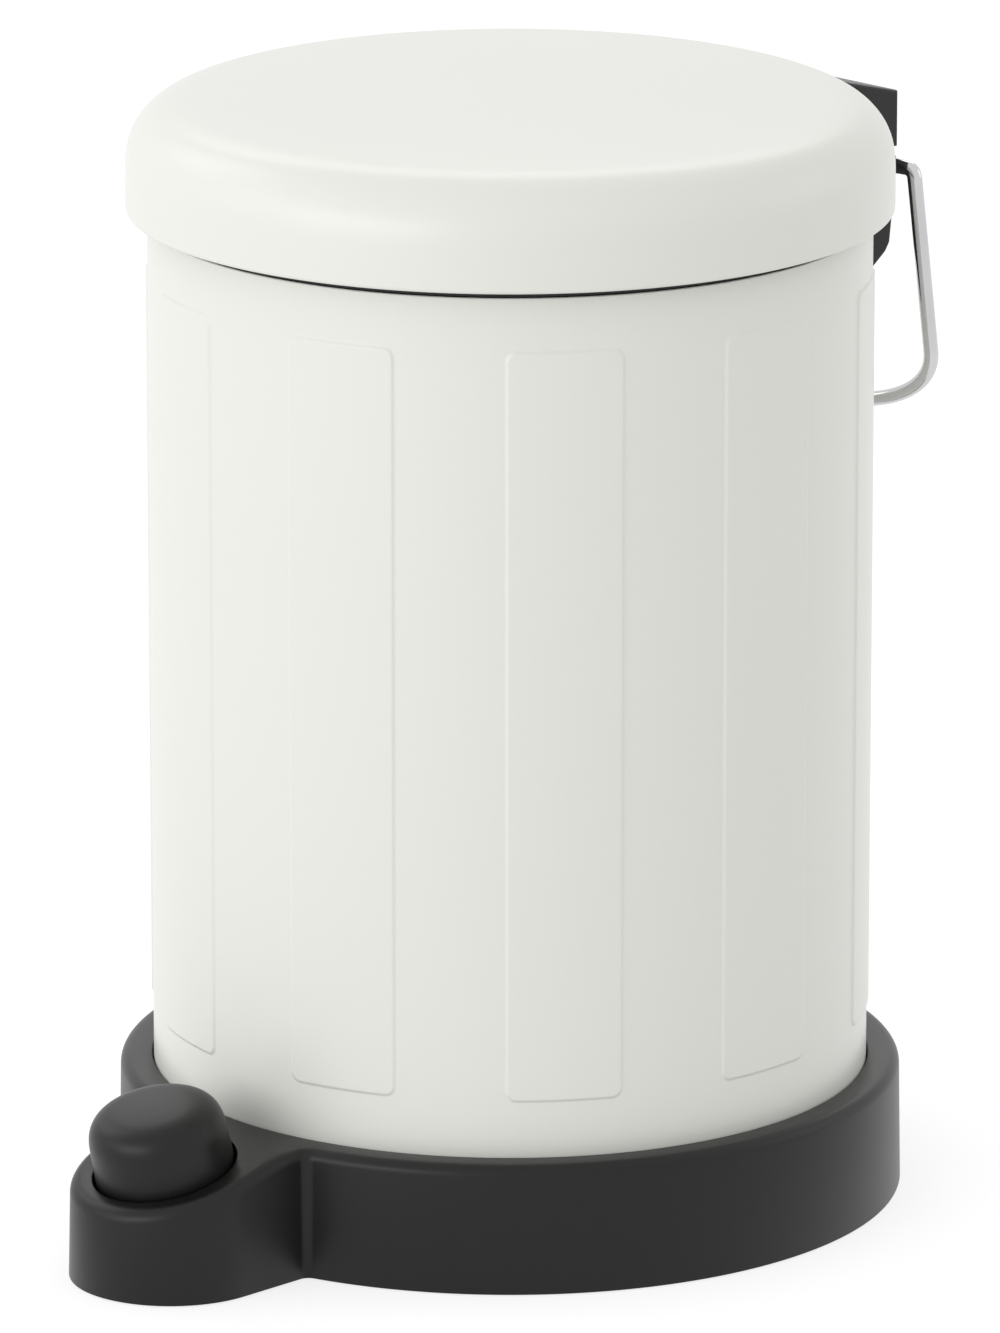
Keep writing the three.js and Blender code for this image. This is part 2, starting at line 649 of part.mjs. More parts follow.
const rodTip = turned(
  [
    ...flatPoints([
      [0, rodTopZ + SEAT_GAP],
      [ROD_RADIUS + SEAT_GAP, rodTopZ + SEAT_GAP],
      [ROD_RADIUS + SEAT_GAP, rodTipBottomZ],
      [ROD_TIP_RADIUS, rodTipBottomZ],
    ]),
    ...arc(0, ROD_TIP_TOP_Z - ROD_TIP_RADIUS, ROD_TIP_RADIUS, 0, Math.PI / 2, 6).slice(0, -1),
    ...flatPoints([[0, ROD_TIP_TOP_Z]]),
  ],
  20,
);
addPiece(pedal, "rod_tip", rodTip.translate(0, ROD_TOP_Y, 0), darkPlastic);

// ---------------------------------------------------------------- body

const body = new THREE.Group();
bin.add(body);

const wallScrewHoleRadius = WALL_SCREW.shank + SEAT_GAP;
const bracketScrewZ = HINGE_Z - BRACKET_SCREW_DROP;
const lidScrewZ = LID_SHOULDER_Z - LID_SCREW_DROP;

// Turns a geometry that points along +Y about the bin's axis by an angle in degrees.
const aboutAxis = (geometry, angle) => geometry.rotateZ(radians(angle));

function radialBar(radius, inner, outer, z, angle) {
  const bar = new THREE.CylinderGeometry(radius, radius, outer - inner, 14);
  return aboutAxis(bar.translate(0, (inner + outer) / 2, z), angle);
}

// One raised panel: a rounded rectangle cut out of a thin ring that stands proud of the tube.
function panelPrism(angle) {
  const halfWidth = BODY_RADIUS * Math.sin(radians(PANEL_ANGLE / 2));
  const halfHeight = (PANEL_TOP_Z - PANEL_BOTTOM_Z) / 2;
  const x = halfWidth - PANEL_CORNER;
  const y = halfHeight - PANEL_CORNER;
  const quarter = Math.PI / 2;
  const outline = new THREE.Shape([
    ...arc(x, y, PANEL_CORNER, 0, quarter, 3),
    ...arc(-x, y, PANEL_CORNER, quarter, 2 * quarter, 3),
    ...arc(-x, -y, PANEL_CORNER, 2 * quarter, 3 * quarter, 3),
    ...arc(x, -y, PANEL_CORNER, 3 * quarter, 4 * quarter, 3),
  ]);
  const prism = new THREE.ExtrudeGeometry(outline, { depth: BODY_RADIUS / 2, bevelEnabled: false })
    .rotateX(Math.PI / 2)
    .translate(0, -0.6 * BODY_RADIUS, halfHeight + PANEL_BOTTOM_Z);
  return prism.rotateZ(radians(angle));
}

function bodyShell() {
  const segments = 120;
  const tube = turnedRing(tubeProfile(BODY_INNER_RADIUS, BODY_RADIUS, BODY_BOTTOM_Z, BODY_TOP_Z), segments);
  const proudRing = solid(
    turnedRing(
      tubeProfile(
        BODY_RADIUS - BODY_WALL / 2,
        BODY_RADIUS + PANEL_RISE,
        PANEL_BOTTOM_Z - 1,
        PANEL_TOP_Z + 1,
      ),
      segments,
    ),
  );
  const pitch = 360 / PANEL_COUNT;
  let shell = solid(tube);
  for (let i = 0; i < PANEL_COUNT; i += 1) {
    shell = shell.add(proudRing.intersect(solid(panelPrism(pitch * (i + 0.5)))));
  }
  const slotHalfWidth = ROD_RADIUS + SLIDE_GAP;
  const wallCrossing = ROD_CRANK_Z + (BODY_RADIUS - ROD_Y) * (ROD_CRANK_RISE / (ROD_TOP_Y - ROD_Y));
  const slotZ = [wallCrossing - ROD_RADIUS * 3, wallCrossing + ROD_TRAVEL + ROD_RADIUS * 2];
  return cut(
    shell,
    block([-slotHalfWidth, slotHalfWidth], [BODY_RADIUS / 2, BODY_RADIUS + 2], slotZ),
    ...[-1, 1].map((side) =>
      radialBar(wallScrewHoleRadius, BODY_RADIUS / 2, BODY_RADIUS + 2, bracketScrewZ, side * BRACKET_SCREW_ANGLE),
    ),
  );
}

addPiece(body, "body_shell", surface(bodyShell()), paintedSteel);

// Two clips inside the back wall keep the rod upright.
function rodGuide(centreZ) {
  const half = GUIDE_HEIGHT / 2;
  const clip = solid(
    block([-GUIDE_HALF_WIDTH, GUIDE_HALF_WIDTH], [ROD_Y - ROD_RADIUS - GUIDE_BACK_WALL, BODY_RADIUS], [centreZ - half, centreZ + half]),
  );
  const inside = solid(barZ(BODY_INNER_RADIUS - SEAT_GAP, centreZ - half - 1, centreZ + half + 1, 120));
  const bore = barZ(ROD_RADIUS + SEAT_GAP, centreZ - half - 1, centreZ + half + 1, 16).translate(0, ROD_Y, 0);
  return cut(clip.intersect(inside), bore);
}

addPiece(body, "rod_guide_lower", surface(rodGuide(DECK_Z + LOWER_GUIDE_RISE)), darkPlastic);
addPiece(body, "rod_guide_upper", surface(rodGuide(ROD_CRANK_Z - UPPER_GUIDE_DROP)), darkPlastic);

// The collar sits on the tube's top edge; its ledge carries the bucket's rim.
const collarSkirtRadius = BODY_INNER_RADIUS - SEAT_GAP;
const ledgeBottomZ = COLLAR_LEDGE_Z - COLLAR_LEDGE_THICKNESS;
const collar = turnedRing(
  flatPoints([
    [COLLAR_LEDGE_RADIUS, ledgeBottomZ],
    [collarSkirtRadius - 2, ledgeBottomZ],
    [collarSkirtRadius - 2, ledgeBottomZ - 1],
    [collarSkirtRadius, ledgeBottomZ - 1],
    [collarSkirtRadius, COLLAR_FLANGE_Z],
    [BODY_RADIUS, COLLAR_FLANGE_Z],
    [BODY_RADIUS, COLLAR_FLANGE_Z + COLLAR_BAND],
    [COLLAR_LIP_RADIUS, COLLAR_FLANGE_Z + COLLAR_LIP_HEIGHT],
    [COLLAR_LIP_RADIUS - COLLAR_LIP_WALL, COLLAR_FLANGE_Z + COLLAR_LIP_HEIGHT],
    [COLLAR_LIP_RADIUS - COLLAR_LIP_WALL, COLLAR_LEDGE_Z],
    [COLLAR_LEDGE_RADIUS, COLLAR_LEDGE_Z],
  ]),
  72,
);
addPiece(body, "collar_ring", collar, darkPlastic);

// ---------------------------------------------------------------- inner bucket

const earOuterX = BUCKET_TOP_RADIUS + 1;
const earInnerX = earOuterX - BUCKET_EAR_THICKNESS;
const handleZ = BUCKET_RIM_TOP_Z + SEAT_GAP + BUCKET_HANDLE_RADIUS;

function innerBucket() {
  const footZ = DECK_Z + SEAT_GAP;
  const profile = [
    ...flatPoints([[0, footZ]]),
    ...arc(BUCKET_FOOT_RADIUS - BUCKET_FOOT_EDGE, footZ + BUCKET_FOOT_EDGE, BUCKET_FOOT_EDGE, -Math.PI / 2, 0, 3),
    ...flatPoints([
      [BUCKET_TOP_RADIUS, COLLAR_LEDGE_Z + SEAT_GAP],
      [BUCKET_RIM_RADIUS, COLLAR_LEDGE_Z + SEAT_GAP],
      [BUCKET_RIM_RADIUS, BUCKET_RIM_TOP_Z],
      [BUCKET_TOP_RADIUS - BUCKET_WALL, BUCKET_RIM_TOP_Z],
      [BUCKET_FOOT_RADIUS - BUCKET_WALL, footZ + BUCKET_FOOT_EDGE],
      [BUCKET_FOOT_RADIUS - BUCKET_FOOT_EDGE, footZ + BUCKET_FLOOR],
      [0, footZ + BUCKET_FLOOR],
    ]),
  ];
  const earY = [-BUCKET_EAR_HALF_LENGTH, BUCKET_EAR_HALF_LENGTH];
  const earZ = [BUCKET_RIM_TOP_Z - 1, handleZ + BUCKET_HANDLE_RADIUS + 2];
  const shell = join(
    solid(turned(profile, 72)),
    block([earInnerX, earOuterX], earY, earZ),
    block([-earOuterX, -earInnerX], earY, earZ),
  );
  const bore = barX(BUCKET_HANDLE_RADIUS + BORE_GAP, -BODY_RADIUS, BODY_RADIUS, 0, handleZ, 16);
  return cut(shell, bore);
}

addPiece(body, "inner_bucket", surface(innerBucket()), bucketPlastic);

// The bucket's wire handle lies on the front half of the rim, its ends turned in through the ears.
function bucketHandle() {
  const bend = BUCKET_HANDLE_RADIUS + 1.1;
  const ring = earOuterX + bend;
  const start = bend / ring;
  const sweep = arc(0, 0, ring, -start, -Math.PI + start, 36).map((p) => new THREE.Vector3(p.x, p.y, handleZ));
  const end = earInnerX - 1.5;
  const turnIn = (side) =>
    new THREE.QuadraticBezierCurve3(
      new THREE.Vector3(side * (ring - bend), 0, handleZ),
      new THREE.Vector3(side * ring, 0, handleZ),
      new THREE.Vector3(side * ring * Math.cos(start), -ring * Math.sin(start), handleZ),
    ).getPoints(4);
  const points = [
    new THREE.Vector3(end, 0, handleZ),
    ...turnIn(1).slice(0, -1),
    ...sweep,
    ...turnIn(-1).reverse().slice(1),
    new THREE.Vector3(-end, 0, handleZ),
  ];
  return wire(points, BUCKET_HANDLE_RADIUS, 8);
}

addPiece(body, "bucket_handle", bucketHandle(), zincSteel);

// ---------------------------------------------------------------- hinge

const bracketFrontY = BODY_RADIUS - BRACKET_OVERLAP;
const hingeBore = () => barX(HINGE_BORE_RADIUS, -BRACKET_HALF_WIDTH * 2, BRACKET_HALF_WIDTH * 2, HINGE_Y, HINGE_Z, 24);

// The body's bracket: a wedge whose top back edge is rounded about the hinge axis.
function bodyBracket() {
  const undercut = Math.tan(radians(BODY_BRACKET_UNDERCUT));
  const topZ = HINGE_Z + KNUCKLE_RADIUS;
  const cornerY = HINGE_BACK_Y - BODY_BRACKET_TAPER;
  const cornerZ = HINGE_Z - BODY_BRACKET_DROP;
  const frontBottomZ = cornerZ - (cornerY - bracketFrontY) * undercut;
  const outline = [
    ...flatPoints([
      [bracketFrontY, frontBottomZ],
      [cornerY - BODY_BRACKET_CORNER, cornerZ - BODY_BRACKET_CORNER * undercut],
      [cornerY, cornerZ + BODY_BRACKET_CORNER * undercut],
    ]),
    ...arc(HINGE_Y, HINGE_Z, KNUCKLE_RADIUS, 0, Math.PI / 2, 6),
    ...flatPoints([[bracketFrontY, topZ]]),
  ];
  const cavityFloorZ = ROD_CRANK_Z + ROD_CRANK_RISE - CAVITY_FLOOR_SPACE;
  const cavityBackY = ROD_TOP_Y + ROD_TIP_RADIUS + CAVITY_BACK_SPACE;
  const throatFloorZ = cavityFloorZ - (ROD_TOP_Y - BODY_RADIUS);
  const slot = sideSlab(
    flatPoints([
      [bracketFrontY - 1, throatFloorZ],
      [BODY_RADIUS, throatFloorZ],
      [ROD_TOP_Y, cavityFloorZ],
      [cavityBackY, cavityFloorZ],
      [cavityBackY, HINGE_Z - CAVITY_TOP_DROP],
      [HINGE_Y - ARM_NOSE_RADIUS, HINGE_Z - KNUCKLE_SPACE_DROP],
      [HINGE_BACK_Y + 6, HINGE_Z - KNUCKLE_SPACE_DROP],
      [HINGE_BACK_Y + 6, topZ + 2],
      [bracketFrontY - 1, topZ + 2],
    ]),
    LID_KNUCKLE_HALF_WIDTH + CONTACT_GAP,
  );
  const pilots = [-1, 1].map((side) =>
    radialBar(wallScrewHoleRadius, BODY_RADIUS / 2, BODY_RADIUS + WALL_SCREW.length, bracketScrewZ, side * BRACKET_SCREW_ANGLE),
  );
  return cut(
    solid(sideSlab(outline, BRACKET_HALF_WIDTH, BRACKET_EDGE)),
    barZ(BODY_RADIUS + PANEL_RISE + SEAT_GAP, frontBottomZ - 5, topZ + 5, 120),
    barZ(LID_RADIUS + CONTACT_GAP, LID_EDGE_Z - CONTACT_GAP, topZ + 5, 96),
    slot,
    hingeBore(),
    ...pilots,
  );
}

addPiece(body, "body_hinge_bracket", surface(bodyBracket()), darkPlastic);

// A screw that comes from inside a round wall, its head's inner face at the given radius.
function addWallScrew(parent, name, headRadius, z, angle) {
  const holder = new THREE.Group();
  holder.rotation.z = radians(angle);
  parent.add(holder);
  const mesh = addPiece(holder, name, screw(WALL_SCREW), zincSteel);
  mesh.position.set(0, headRadius - WALL_SCREW.headHeight, z);
  mesh.rotation.x = Math.PI / 2;
}

const wallHeadRadius = BODY_INNER_RADIUS - SEAT_GAP;
addWallScrew(body, "bracket_screw_left", wallHeadRadius, bracketScrewZ, BRACKET_SCREW_ANGLE);
addWallScrew(body, "bracket_screw_right", wallHeadRadius, bracketScrewZ, -BRACKET_SCREW_ANGLE);

addPiece(
  body,
  "hinge_pin",
  barX(BAIL_RADIUS, -HINGE_PIN_HALF_LENGTH, HINGE_PIN_HALF_LENGTH, HINGE_Y, HINGE_Z, 20),
  zincSteel,
);

// ---------------------------------------------------------------- lid

const lid = new THREE.Group();
bin.add(lid);

function lidShell() {
  const outer = domeProfile(LID_RADIUS, LID_SHOULDER_Z, LID_SHOULDER_RADIUS, LID_APEX_Z, 6, 3);
  const inner = domeProfile(
    LID_RADIUS - LID_WALL,
    LID_SHOULDER_Z,
    LID_SHOULDER_RADIUS - LID_WALL,
    LID_APEX_Z - LID_WALL,
    4,
    2,
  ).reverse();
  const hem = arc(
    LID_RADIUS - LID_HEM_RADIUS,
    LID_EDGE_Z + LID_HEM_RADIUS,
    LID_HEM_RADIUS,
    Math.acos((LID_HEM_RADIUS - LID_WALL) / LID_HEM_RADIUS),
    2 * Math.PI,
    5,
  );
  const shell = turned([...inner, ...hem, ...outer], 96);
  return cut(
    solid(shell),
    ...[-1, 1].map((side) =>
      radialBar(wallScrewHoleRadius, BODY_RADIUS / 2, LID_RADIUS + 2, lidScrewZ, side * BRACKET_SCREW_ANGLE),
    ),
  );
}

addPiece(lid, "lid_shell", surface(lidShell()), paintedSteel);

// The space that the lid fills, with the seat gap all round.
function lidBlank() {
  const profile = domeProfile(
    LID_RADIUS + SEAT_GAP,
    LID_SHOULDER_Z,
    LID_SHOULDER_RADIUS + SEAT_GAP,
    LID_APEX_Z + SEAT_GAP,
    6,
    3,
  );
  const bottomZ = LID_EDGE_Z - 10;
  return turned([...flatPoints([[0, bottomZ], [LID_RADIUS + SEAT_GAP, bottomZ]]), ...profile], 96);
}

// The lid's bracket: a block on the rim, a knuckle that turns on the pin, and an arm below it
// whose round nose the push rod lifts.
function lidBracket() {
  const slope = Math.tan(radians(LID_BRACKET_SLOPE));
  const backTopZ = LID_BRACKET_BOTTOM_Z + LID_BRACKET_HEIGHT;
  const rimBlock = sideSlab(
    flatPoints([
      [bracketFrontY, LID_BRACKET_BOTTOM_Z],
      [HINGE_BACK_Y, LID_BRACKET_BOTTOM_Z],
      [HINGE_BACK_Y, backTopZ],
      [bracketFrontY, backTopZ + slope * (HINGE_BACK_Y - bracketFrontY)],
    ]),
    BRACKET_HALF_WIDTH,
    BRACKET_EDGE,
  );
  const neck = block(
    [-LID_KNUCKLE_HALF_WIDTH, LID_KNUCKLE_HALF_WIDTH],
    [HINGE_Y - KNUCKLE_RADIUS, HINGE_BACK_Y],
    [HINGE_Z, LID_BRACKET_BOTTOM_Z + 2],
  );
  const knuckle = barX(KNUCKLE_RADIUS, -LID_KNUCKLE_HALF_WIDTH, LID_KNUCKLE_HALF_WIDTH, HINGE_Y, HINGE_Z, 24);
  const along = Math.atan2(NOSE_Z - HINGE_Z, NOSE_Y - HINGE_Y);
  const arm = sideSlab(
    [
      ...arc(HINGE_Y, HINGE_Z, ARM_HALF_HEIGHT, along - Math.PI / 2, along - 1.5 * Math.PI, 6),
      ...arc(NOSE_Y, NOSE_Z, ARM_HALF_HEIGHT, along + Math.PI / 2, along - Math.PI / 2, 6),
    ],
    ARM_HALF_WIDTH,
  );
  const nose = barX(ARM_NOSE_RADIUS, -ARM_HALF_WIDTH, ARM_HALF_WIDTH, NOSE_Y, NOSE_Z, 24);
  const pilots = [-1, 1].map((side) =>
    radialBar(wallScrewHoleRadius, BODY_RADIUS / 2, LID_RADIUS + WALL_SCREW.length, lidScrewZ, side * BRACKET_SCREW_ANGLE),
  );
  return join(cut(solid(rimBlock), lidBlank(), ...pilots), neck, knuckle, arm, nose).subtract(solid(hingeBore()));
}

addPiece(lid, "lid_hinge_bracket", surface(lidBracket()), darkPlastic);

const lidHeadRadius = LID_RADIUS - LID_WALL - SEAT_GAP;
addWallScrew(lid, "lid_screw_left", lidHeadRadius, lidScrewZ, BRACKET_SCREW_ANGLE);
addWallScrew(lid, "lid_screw_right", lidHeadRadius, lidScrewZ, -BRACKET_SCREW_ANGLE);

// ---------------------------------------------------------------- bail

// A hoop in one upright plane. Its ends turn in to the outer bores of the body's bracket.
function bail() {
  const inPlane = (x, drop) => new THREE.Vector3(x, HINGE_Y, HINGE_Z - drop);
  const shoulder = inPlane(BAIL_TOP_HALF_WIDTH, 0);
  const legEnd = inPlane(BAIL_LEG_HALF_WIDTH, BAIL_LEG_DROP);
  const top = bentRun([inPlane(HINGE_PIN_HALF_LENGTH + 1, 0), shoulder, legEnd], [BAIL_TOP_BEND], 6);
  const corner = legEnd.clone().add(legEnd.clone().sub(shoulder).setLength(BAIL_CORNER));
  const curve = new THREE.CubicBezierCurve3(legEnd, corner, inPlane(BAIL_BELLY, BAIL_DROP), inPlane(0, BAIL_DROP));
  const right = [...top, ...curve.getPoints(14).slice(1)];
  const left = right.slice(0, -1).reverse().map((p) => p.clone().setX(-p.x));
  return wire([...right, ...left], BAIL_RADIUS, 12);
}

addPiece(bin, "bail_handle", bail(), chromeWire);

export default bin;
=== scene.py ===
# %% [markdown]
# # A five-litre pedal bin
# The real bin is a white powder-coated steel tube that stands in a black moulded base. A round
# button in the base's lobe lifts the lid, a chrome bail hangs behind, and a black bucket stands
# inside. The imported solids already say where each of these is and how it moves, so the first step
# loads them. They stay where they are: every new piece is made in their frame, in its own place.

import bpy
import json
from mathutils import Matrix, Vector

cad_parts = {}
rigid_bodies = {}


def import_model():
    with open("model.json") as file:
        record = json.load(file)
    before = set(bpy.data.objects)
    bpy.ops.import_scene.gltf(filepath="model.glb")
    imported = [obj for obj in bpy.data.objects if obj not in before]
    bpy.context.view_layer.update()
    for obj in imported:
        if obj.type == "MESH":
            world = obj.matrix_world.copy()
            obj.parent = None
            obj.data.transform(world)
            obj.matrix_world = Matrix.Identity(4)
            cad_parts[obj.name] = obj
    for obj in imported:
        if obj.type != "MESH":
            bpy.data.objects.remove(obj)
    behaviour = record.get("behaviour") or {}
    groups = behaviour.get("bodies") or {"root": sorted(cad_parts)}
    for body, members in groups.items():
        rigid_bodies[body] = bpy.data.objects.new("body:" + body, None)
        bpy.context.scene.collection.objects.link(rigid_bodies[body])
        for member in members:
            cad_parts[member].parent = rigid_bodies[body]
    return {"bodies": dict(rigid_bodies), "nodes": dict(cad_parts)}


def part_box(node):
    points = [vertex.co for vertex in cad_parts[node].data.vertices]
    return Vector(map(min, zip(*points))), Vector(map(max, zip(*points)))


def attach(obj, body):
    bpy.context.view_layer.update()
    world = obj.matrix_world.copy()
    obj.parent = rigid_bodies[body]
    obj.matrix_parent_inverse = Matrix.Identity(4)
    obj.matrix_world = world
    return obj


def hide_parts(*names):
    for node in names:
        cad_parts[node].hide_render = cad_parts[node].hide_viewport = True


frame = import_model()

# %% [markdown]
# Blender may start with a cube, a lamp and a camera of its own. They go. The finished look must
# not be larger than they are.

# %% Clear the table
import json
import math

import bmesh
import bpy
import numpy as np
from mathutils import Vector, geometry

belonging = {o.name for o in [*frame["nodes"].values(), *frame["bodies"].values()]}
for extra in [o for o in bpy.data.objects if o.name not in belonging]:
    bpy.data.objects.remove(extra)
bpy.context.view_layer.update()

# %% [markdown]
# ## Shapes from rings of points
# Nearly everything on this bin is turned, drawn from wire or moulded with a constant outline. All
# three are the same job in mesh code: lay rings of points beside each other and put four-sided
# faces between them. One helper does that, and the next ones only make the rings. Blender's Screw
# and Bevel modifiers could turn and round too, but rings give each corner its own radius.

# %% Rings, turned pieces and shapes put together
MM = 0.001


def skinned(rings, joined=False):
    """Four-sided faces between neighbouring rings that hold equally many points."""
    count, rows = len(rings[0]), len(rings)
    faces = []
    for row in range(rows if joined else rows - 1):
        here, there = row * count, (row + 1) % rows * count
        for i in range(count):
            j = (i + 1) % count
            faces.append((here + i, here + j, there + j, there + i))
    return [p for ring in rings for p in ring], faces


def circle(radius, count, x=0.0, y=0.0):
    """A ring of flat points about (x, y)."""
    steps = [2 * math.pi * i / count for i in range(count)]
    return [(x + radius * math.cos(a), y + radius * math.sin(a)) for a in steps]


def turned(profile, count, joined=False):
    """The skin that a profile of (radius, height) points sweeps about the upright axis."""
    return skinned([[(x, y, z) for x, y in circle(r, count)] for r, z in profile], joined)


def together(*shapes):
    """Several shapes as one."""
    points, faces = [], []
    for more_points, more_faces in shapes:
        first = len(points)
        points += more_points
        faces += [tuple(first + i for i in face) for face in more_faces]
    return points, faces


def placed(shape, place):
    """The same shape with each point sent through place(x, y, z)."""
    return [place(*p) for p in shape[0]], shape[1]


print("a trial ring has", len(turned([(1, 0), (1, 1)], 24)[1]), "faces")

# %% [markdown]
# A moulding or a pressing has no truly sharp corner, and the eye reads the thin highlight on each
# edge as real. The profiles below are therefore drawn with a radius at every corner.

# %% Rounded corners


def arc(x, y, radius, start, end, steps):
    """Points on a circle about (x, y), from one angle to another."""
    angles = [start + (end - start) * i / steps for i in range(steps + 1)]
    return [(x + radius * math.cos(a), y + radius * math.sin(a)) for a in angles]


def eased(corners, steps=4):
    """A line through (a, b, radius) corners, with each corner rounded by its radius."""
    points = []
    for i, (a, b, radius) in enumerate(corners):
        if radius == 0:
            points.append((a, b))
            continue
        here = Vector((a, b))
        back = Vector(corners[i - 1][:2]) - here
        ahead = Vector(corners[(i + 1) % len(corners)][:2]) - here
        half = back.angle(ahead) / 2
        reach = min(radius / math.tan(half), 0.49 * back.length, 0.49 * ahead.length)
        toward = (back.normalized() + ahead.normalized()).normalized()
        middle = here + toward * (reach / math.cos(half))
        first = here + back.normalized() * reach - middle
        last = here + ahead.normalized() * reach - middle
        start = math.atan2(first.y, first.x)
        swing = (math.atan2(last.y, last.x) - start + math.pi) % (2 * math.pi) - math.pi
        points += arc(middle.x, middle.y, first.length, start, start + swing, steps)
    return points


trial = eased([(0, 0, 1), (9, 0, 1), (9, 9, 1), (0, 9, 1)])
print("a square with eased corners has", len(trial), "points")

# %% [markdown]
# The lid and the button are domes: a tight shoulder that runs into a flatter crown. Two arcs that
# touch give that profile, but where they touch the bend changes all at once, and a satin skin
# shows it as a hard band. Pressed sheet has no such place. So the profile is walked in quarter
# millimetres, each point is replaced by the mean of its neighbours, and then only the points that
# the bend needs are kept.

# %% Domes
WALK, TURN_KEPT, GAP_KEPT = 0.25, math.radians(1.6), 6


def dome(radius, shoulder_z, shoulder_radius, apex_z, shoulder_steps, crown_steps):
    """A shoulder arc that runs smoothly into a crown arc through the apex."""
    across, low = radius - shoulder_radius, apex_z - shoulder_radius
    crown_z = (low**2 - shoulder_z**2 - across**2) / (2 * (low - shoulder_z))
    meet = math.atan2(shoulder_z - crown_z, across)
    shoulder = arc(across, shoulder_z, shoulder_radius, 0, meet, shoulder_steps)
    crown = arc(0, crown_z, apex_z - crown_z, meet, math.pi / 2, crown_steps)[1:-1]
    return [*shoulder, *crown, (0.0, apex_z)]


def softened(profile, reach):
    """A dome's profile with its bends evened out over `reach` millimetres to each side."""
    line = np.array(profile, float)
    along = np.r_[0, np.cumsum(np.hypot(*np.diff(line, axis=0).T))]
    walk = np.arange(0, along[-1], WALK)
    fine = np.array([np.interp(walk, along, line[:, k]) for k in (0, 1)]).T
    n = round(reach / WALK)
    # The line runs straight on before its foot, and is mirrored beyond its apex.
    before, beyond = 2 * fine[0] - fine[n:0:-1], fine[-1:-n - 1:-1] * (-1, 1)
    padded = np.vstack([before, fine, beyond])
    means = [padded[i:i + 2 * n + 1].mean(axis=0) for i in range(len(fine))]
    kept, heading = [means[0]], None
    for here, ahead in zip(means[1:], means[2:]):
        now = math.atan2(ahead[1] - here[1], ahead[0] - here[0])
        turned_enough = heading is None or abs(now - heading) > TURN_KEPT
        if turned_enough or math.dist(here, kept[-1]) > GAP_KEPT:
            kept.append(here)
            heading = now
    return [*[tuple(p) for p in kept], (0.0, profile[-1][1])]


trial = dome(10, 2, 3, 7, 8, 6)
print("a trial dome has", len(trial), "points, and softened", len(softened(trial, 1)))

# %% [markdown]
# Flat faces with holes, such as the base's top, are filled with a constrained triangulation: it
# keeps the outline and the holes as edges, and the triangles outside them are thrown away.

# %% Sheets with holes, and plates


def within(loop, x, y):
    """True where a point lies inside a closed loop of points."""
    a = np.asarray(loop, float)
    b = np.roll(a, -1, axis=0)
    crosses = (a[:, 1] > y) != (b[:, 1] > y)
    rise = np.where(crosses, b[:, 1] - a[:, 1], 1.0)
    at = a[:, 0] + (y - a[:, 1]) * (b[:, 0] - a[:, 0]) / rise
    return int(np.sum(crosses & (at > x))) % 2 == 1


def filled(outline, holes, height, extra=()):
    """Triangles inside an outline and outside its holes, lifted to height(x, y)."""
    flat, edges = [], []
    for loop in (outline, *holes):
        first = len(flat)
        flat += [Vector(p) for p in loop]
        edges += [(first + i, first + (i + 1) % len(loop)) for i in range(len(loop))]
    flat += [Vector(p) for p in extra]
    spots, _, triangles = geometry.delaunay_2d_cdt(flat, edges, [], 0, 1e-7)[:3]
    kept = []
    for t in triangles:
        x, y = sum(spots[i].x for i in t) / 3, sum(spots[i].y for i in t) / 3
        if within(outline, x, y) and not any(within(h, x, y) for h in holes):
            kept.append(tuple(t))
    return [(p.x, p.y, height(p.x, p.y)) for p in spots], kept


def plate(outline, holes, low, high):
    """A flat plate of even thickness, with its holes."""
    walls = [
        skinned([[(x, y, low) for x, y in loop], [(x, y, high) for x, y in loop]])
        for loop in (outline, *holes)
    ]
    faces = [filled(outline, holes, lambda x, y, z=z: z) for z in (low, high)]
    return together(*faces, *walls)


print("a washer has", len(plate(circle(2, 24), [circle(1, 24)], 0, 1)[1]), "faces")

# %% [markdown]
# A shape becomes a piece here: its points go from millimetres to metres, doubled points are
# merged, and it is shaded smooth except at edges that are meant to be sharp. The piece rides on
# a body, and hides the plain solid that it stands for.

# %% Shapes become pieces
DOUBLED, SHARP_EDGE = 4e-7, math.radians(34)


def bare(name, shape):
    """A plain mesh object, from a shape in millimetres."""
    mesh = bpy.data.meshes.new(name)
    mesh.from_pydata([(x * MM, y * MM, z * MM) for x, y, z in shape[0]], [], shape[1])
    work = bmesh.new()
    work.from_mesh(mesh)
    bmesh.ops.remove_doubles(work, verts=work.verts, dist=DOUBLED)
    loose = [v for v in work.verts if not v.link_faces]
    bmesh.ops.delete(work, geom=loose, context="VERTS")
    bmesh.ops.recalc_face_normals(work, faces=work.faces)
    work.to_mesh(mesh)
    work.free()
    thing = bpy.data.objects.new(name, mesh)
    bpy.context.scene.collection.objects.link(thing)
    return thing


def smooth(piece):
    """Smooth shading that breaks only where an edge is meant to be sharp."""
    piece.data.polygons.foreach_set("use_smooth", [True] * len(piece.data.polygons))
    piece.data.set_sharp_from_angle(angle=SHARP_EDGE)


def make_piece(name, shape, finish, body, stands_for):
    """A finished piece that rides on a body, in place of the solids it stands for."""
    piece = bare(name, shape)
    smooth(piece)
    piece.data.materials.append(finish.material)
    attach(piece, body)
    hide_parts(*stands_for)
    print(name, "has", len(piece.data.polygons), "faces")
    return piece


print("edges of more than", round(math.degrees(SHARP_EDGE)), "degrees stay sharp")

# %% [markdown]
# Slots and screw holes are cut as a punch or a drill would cut them, out of the finished skin. A
# Boolean modifier does it. Its result is kept as the piece's own mesh, and the cutter goes again.

# %% Cutting


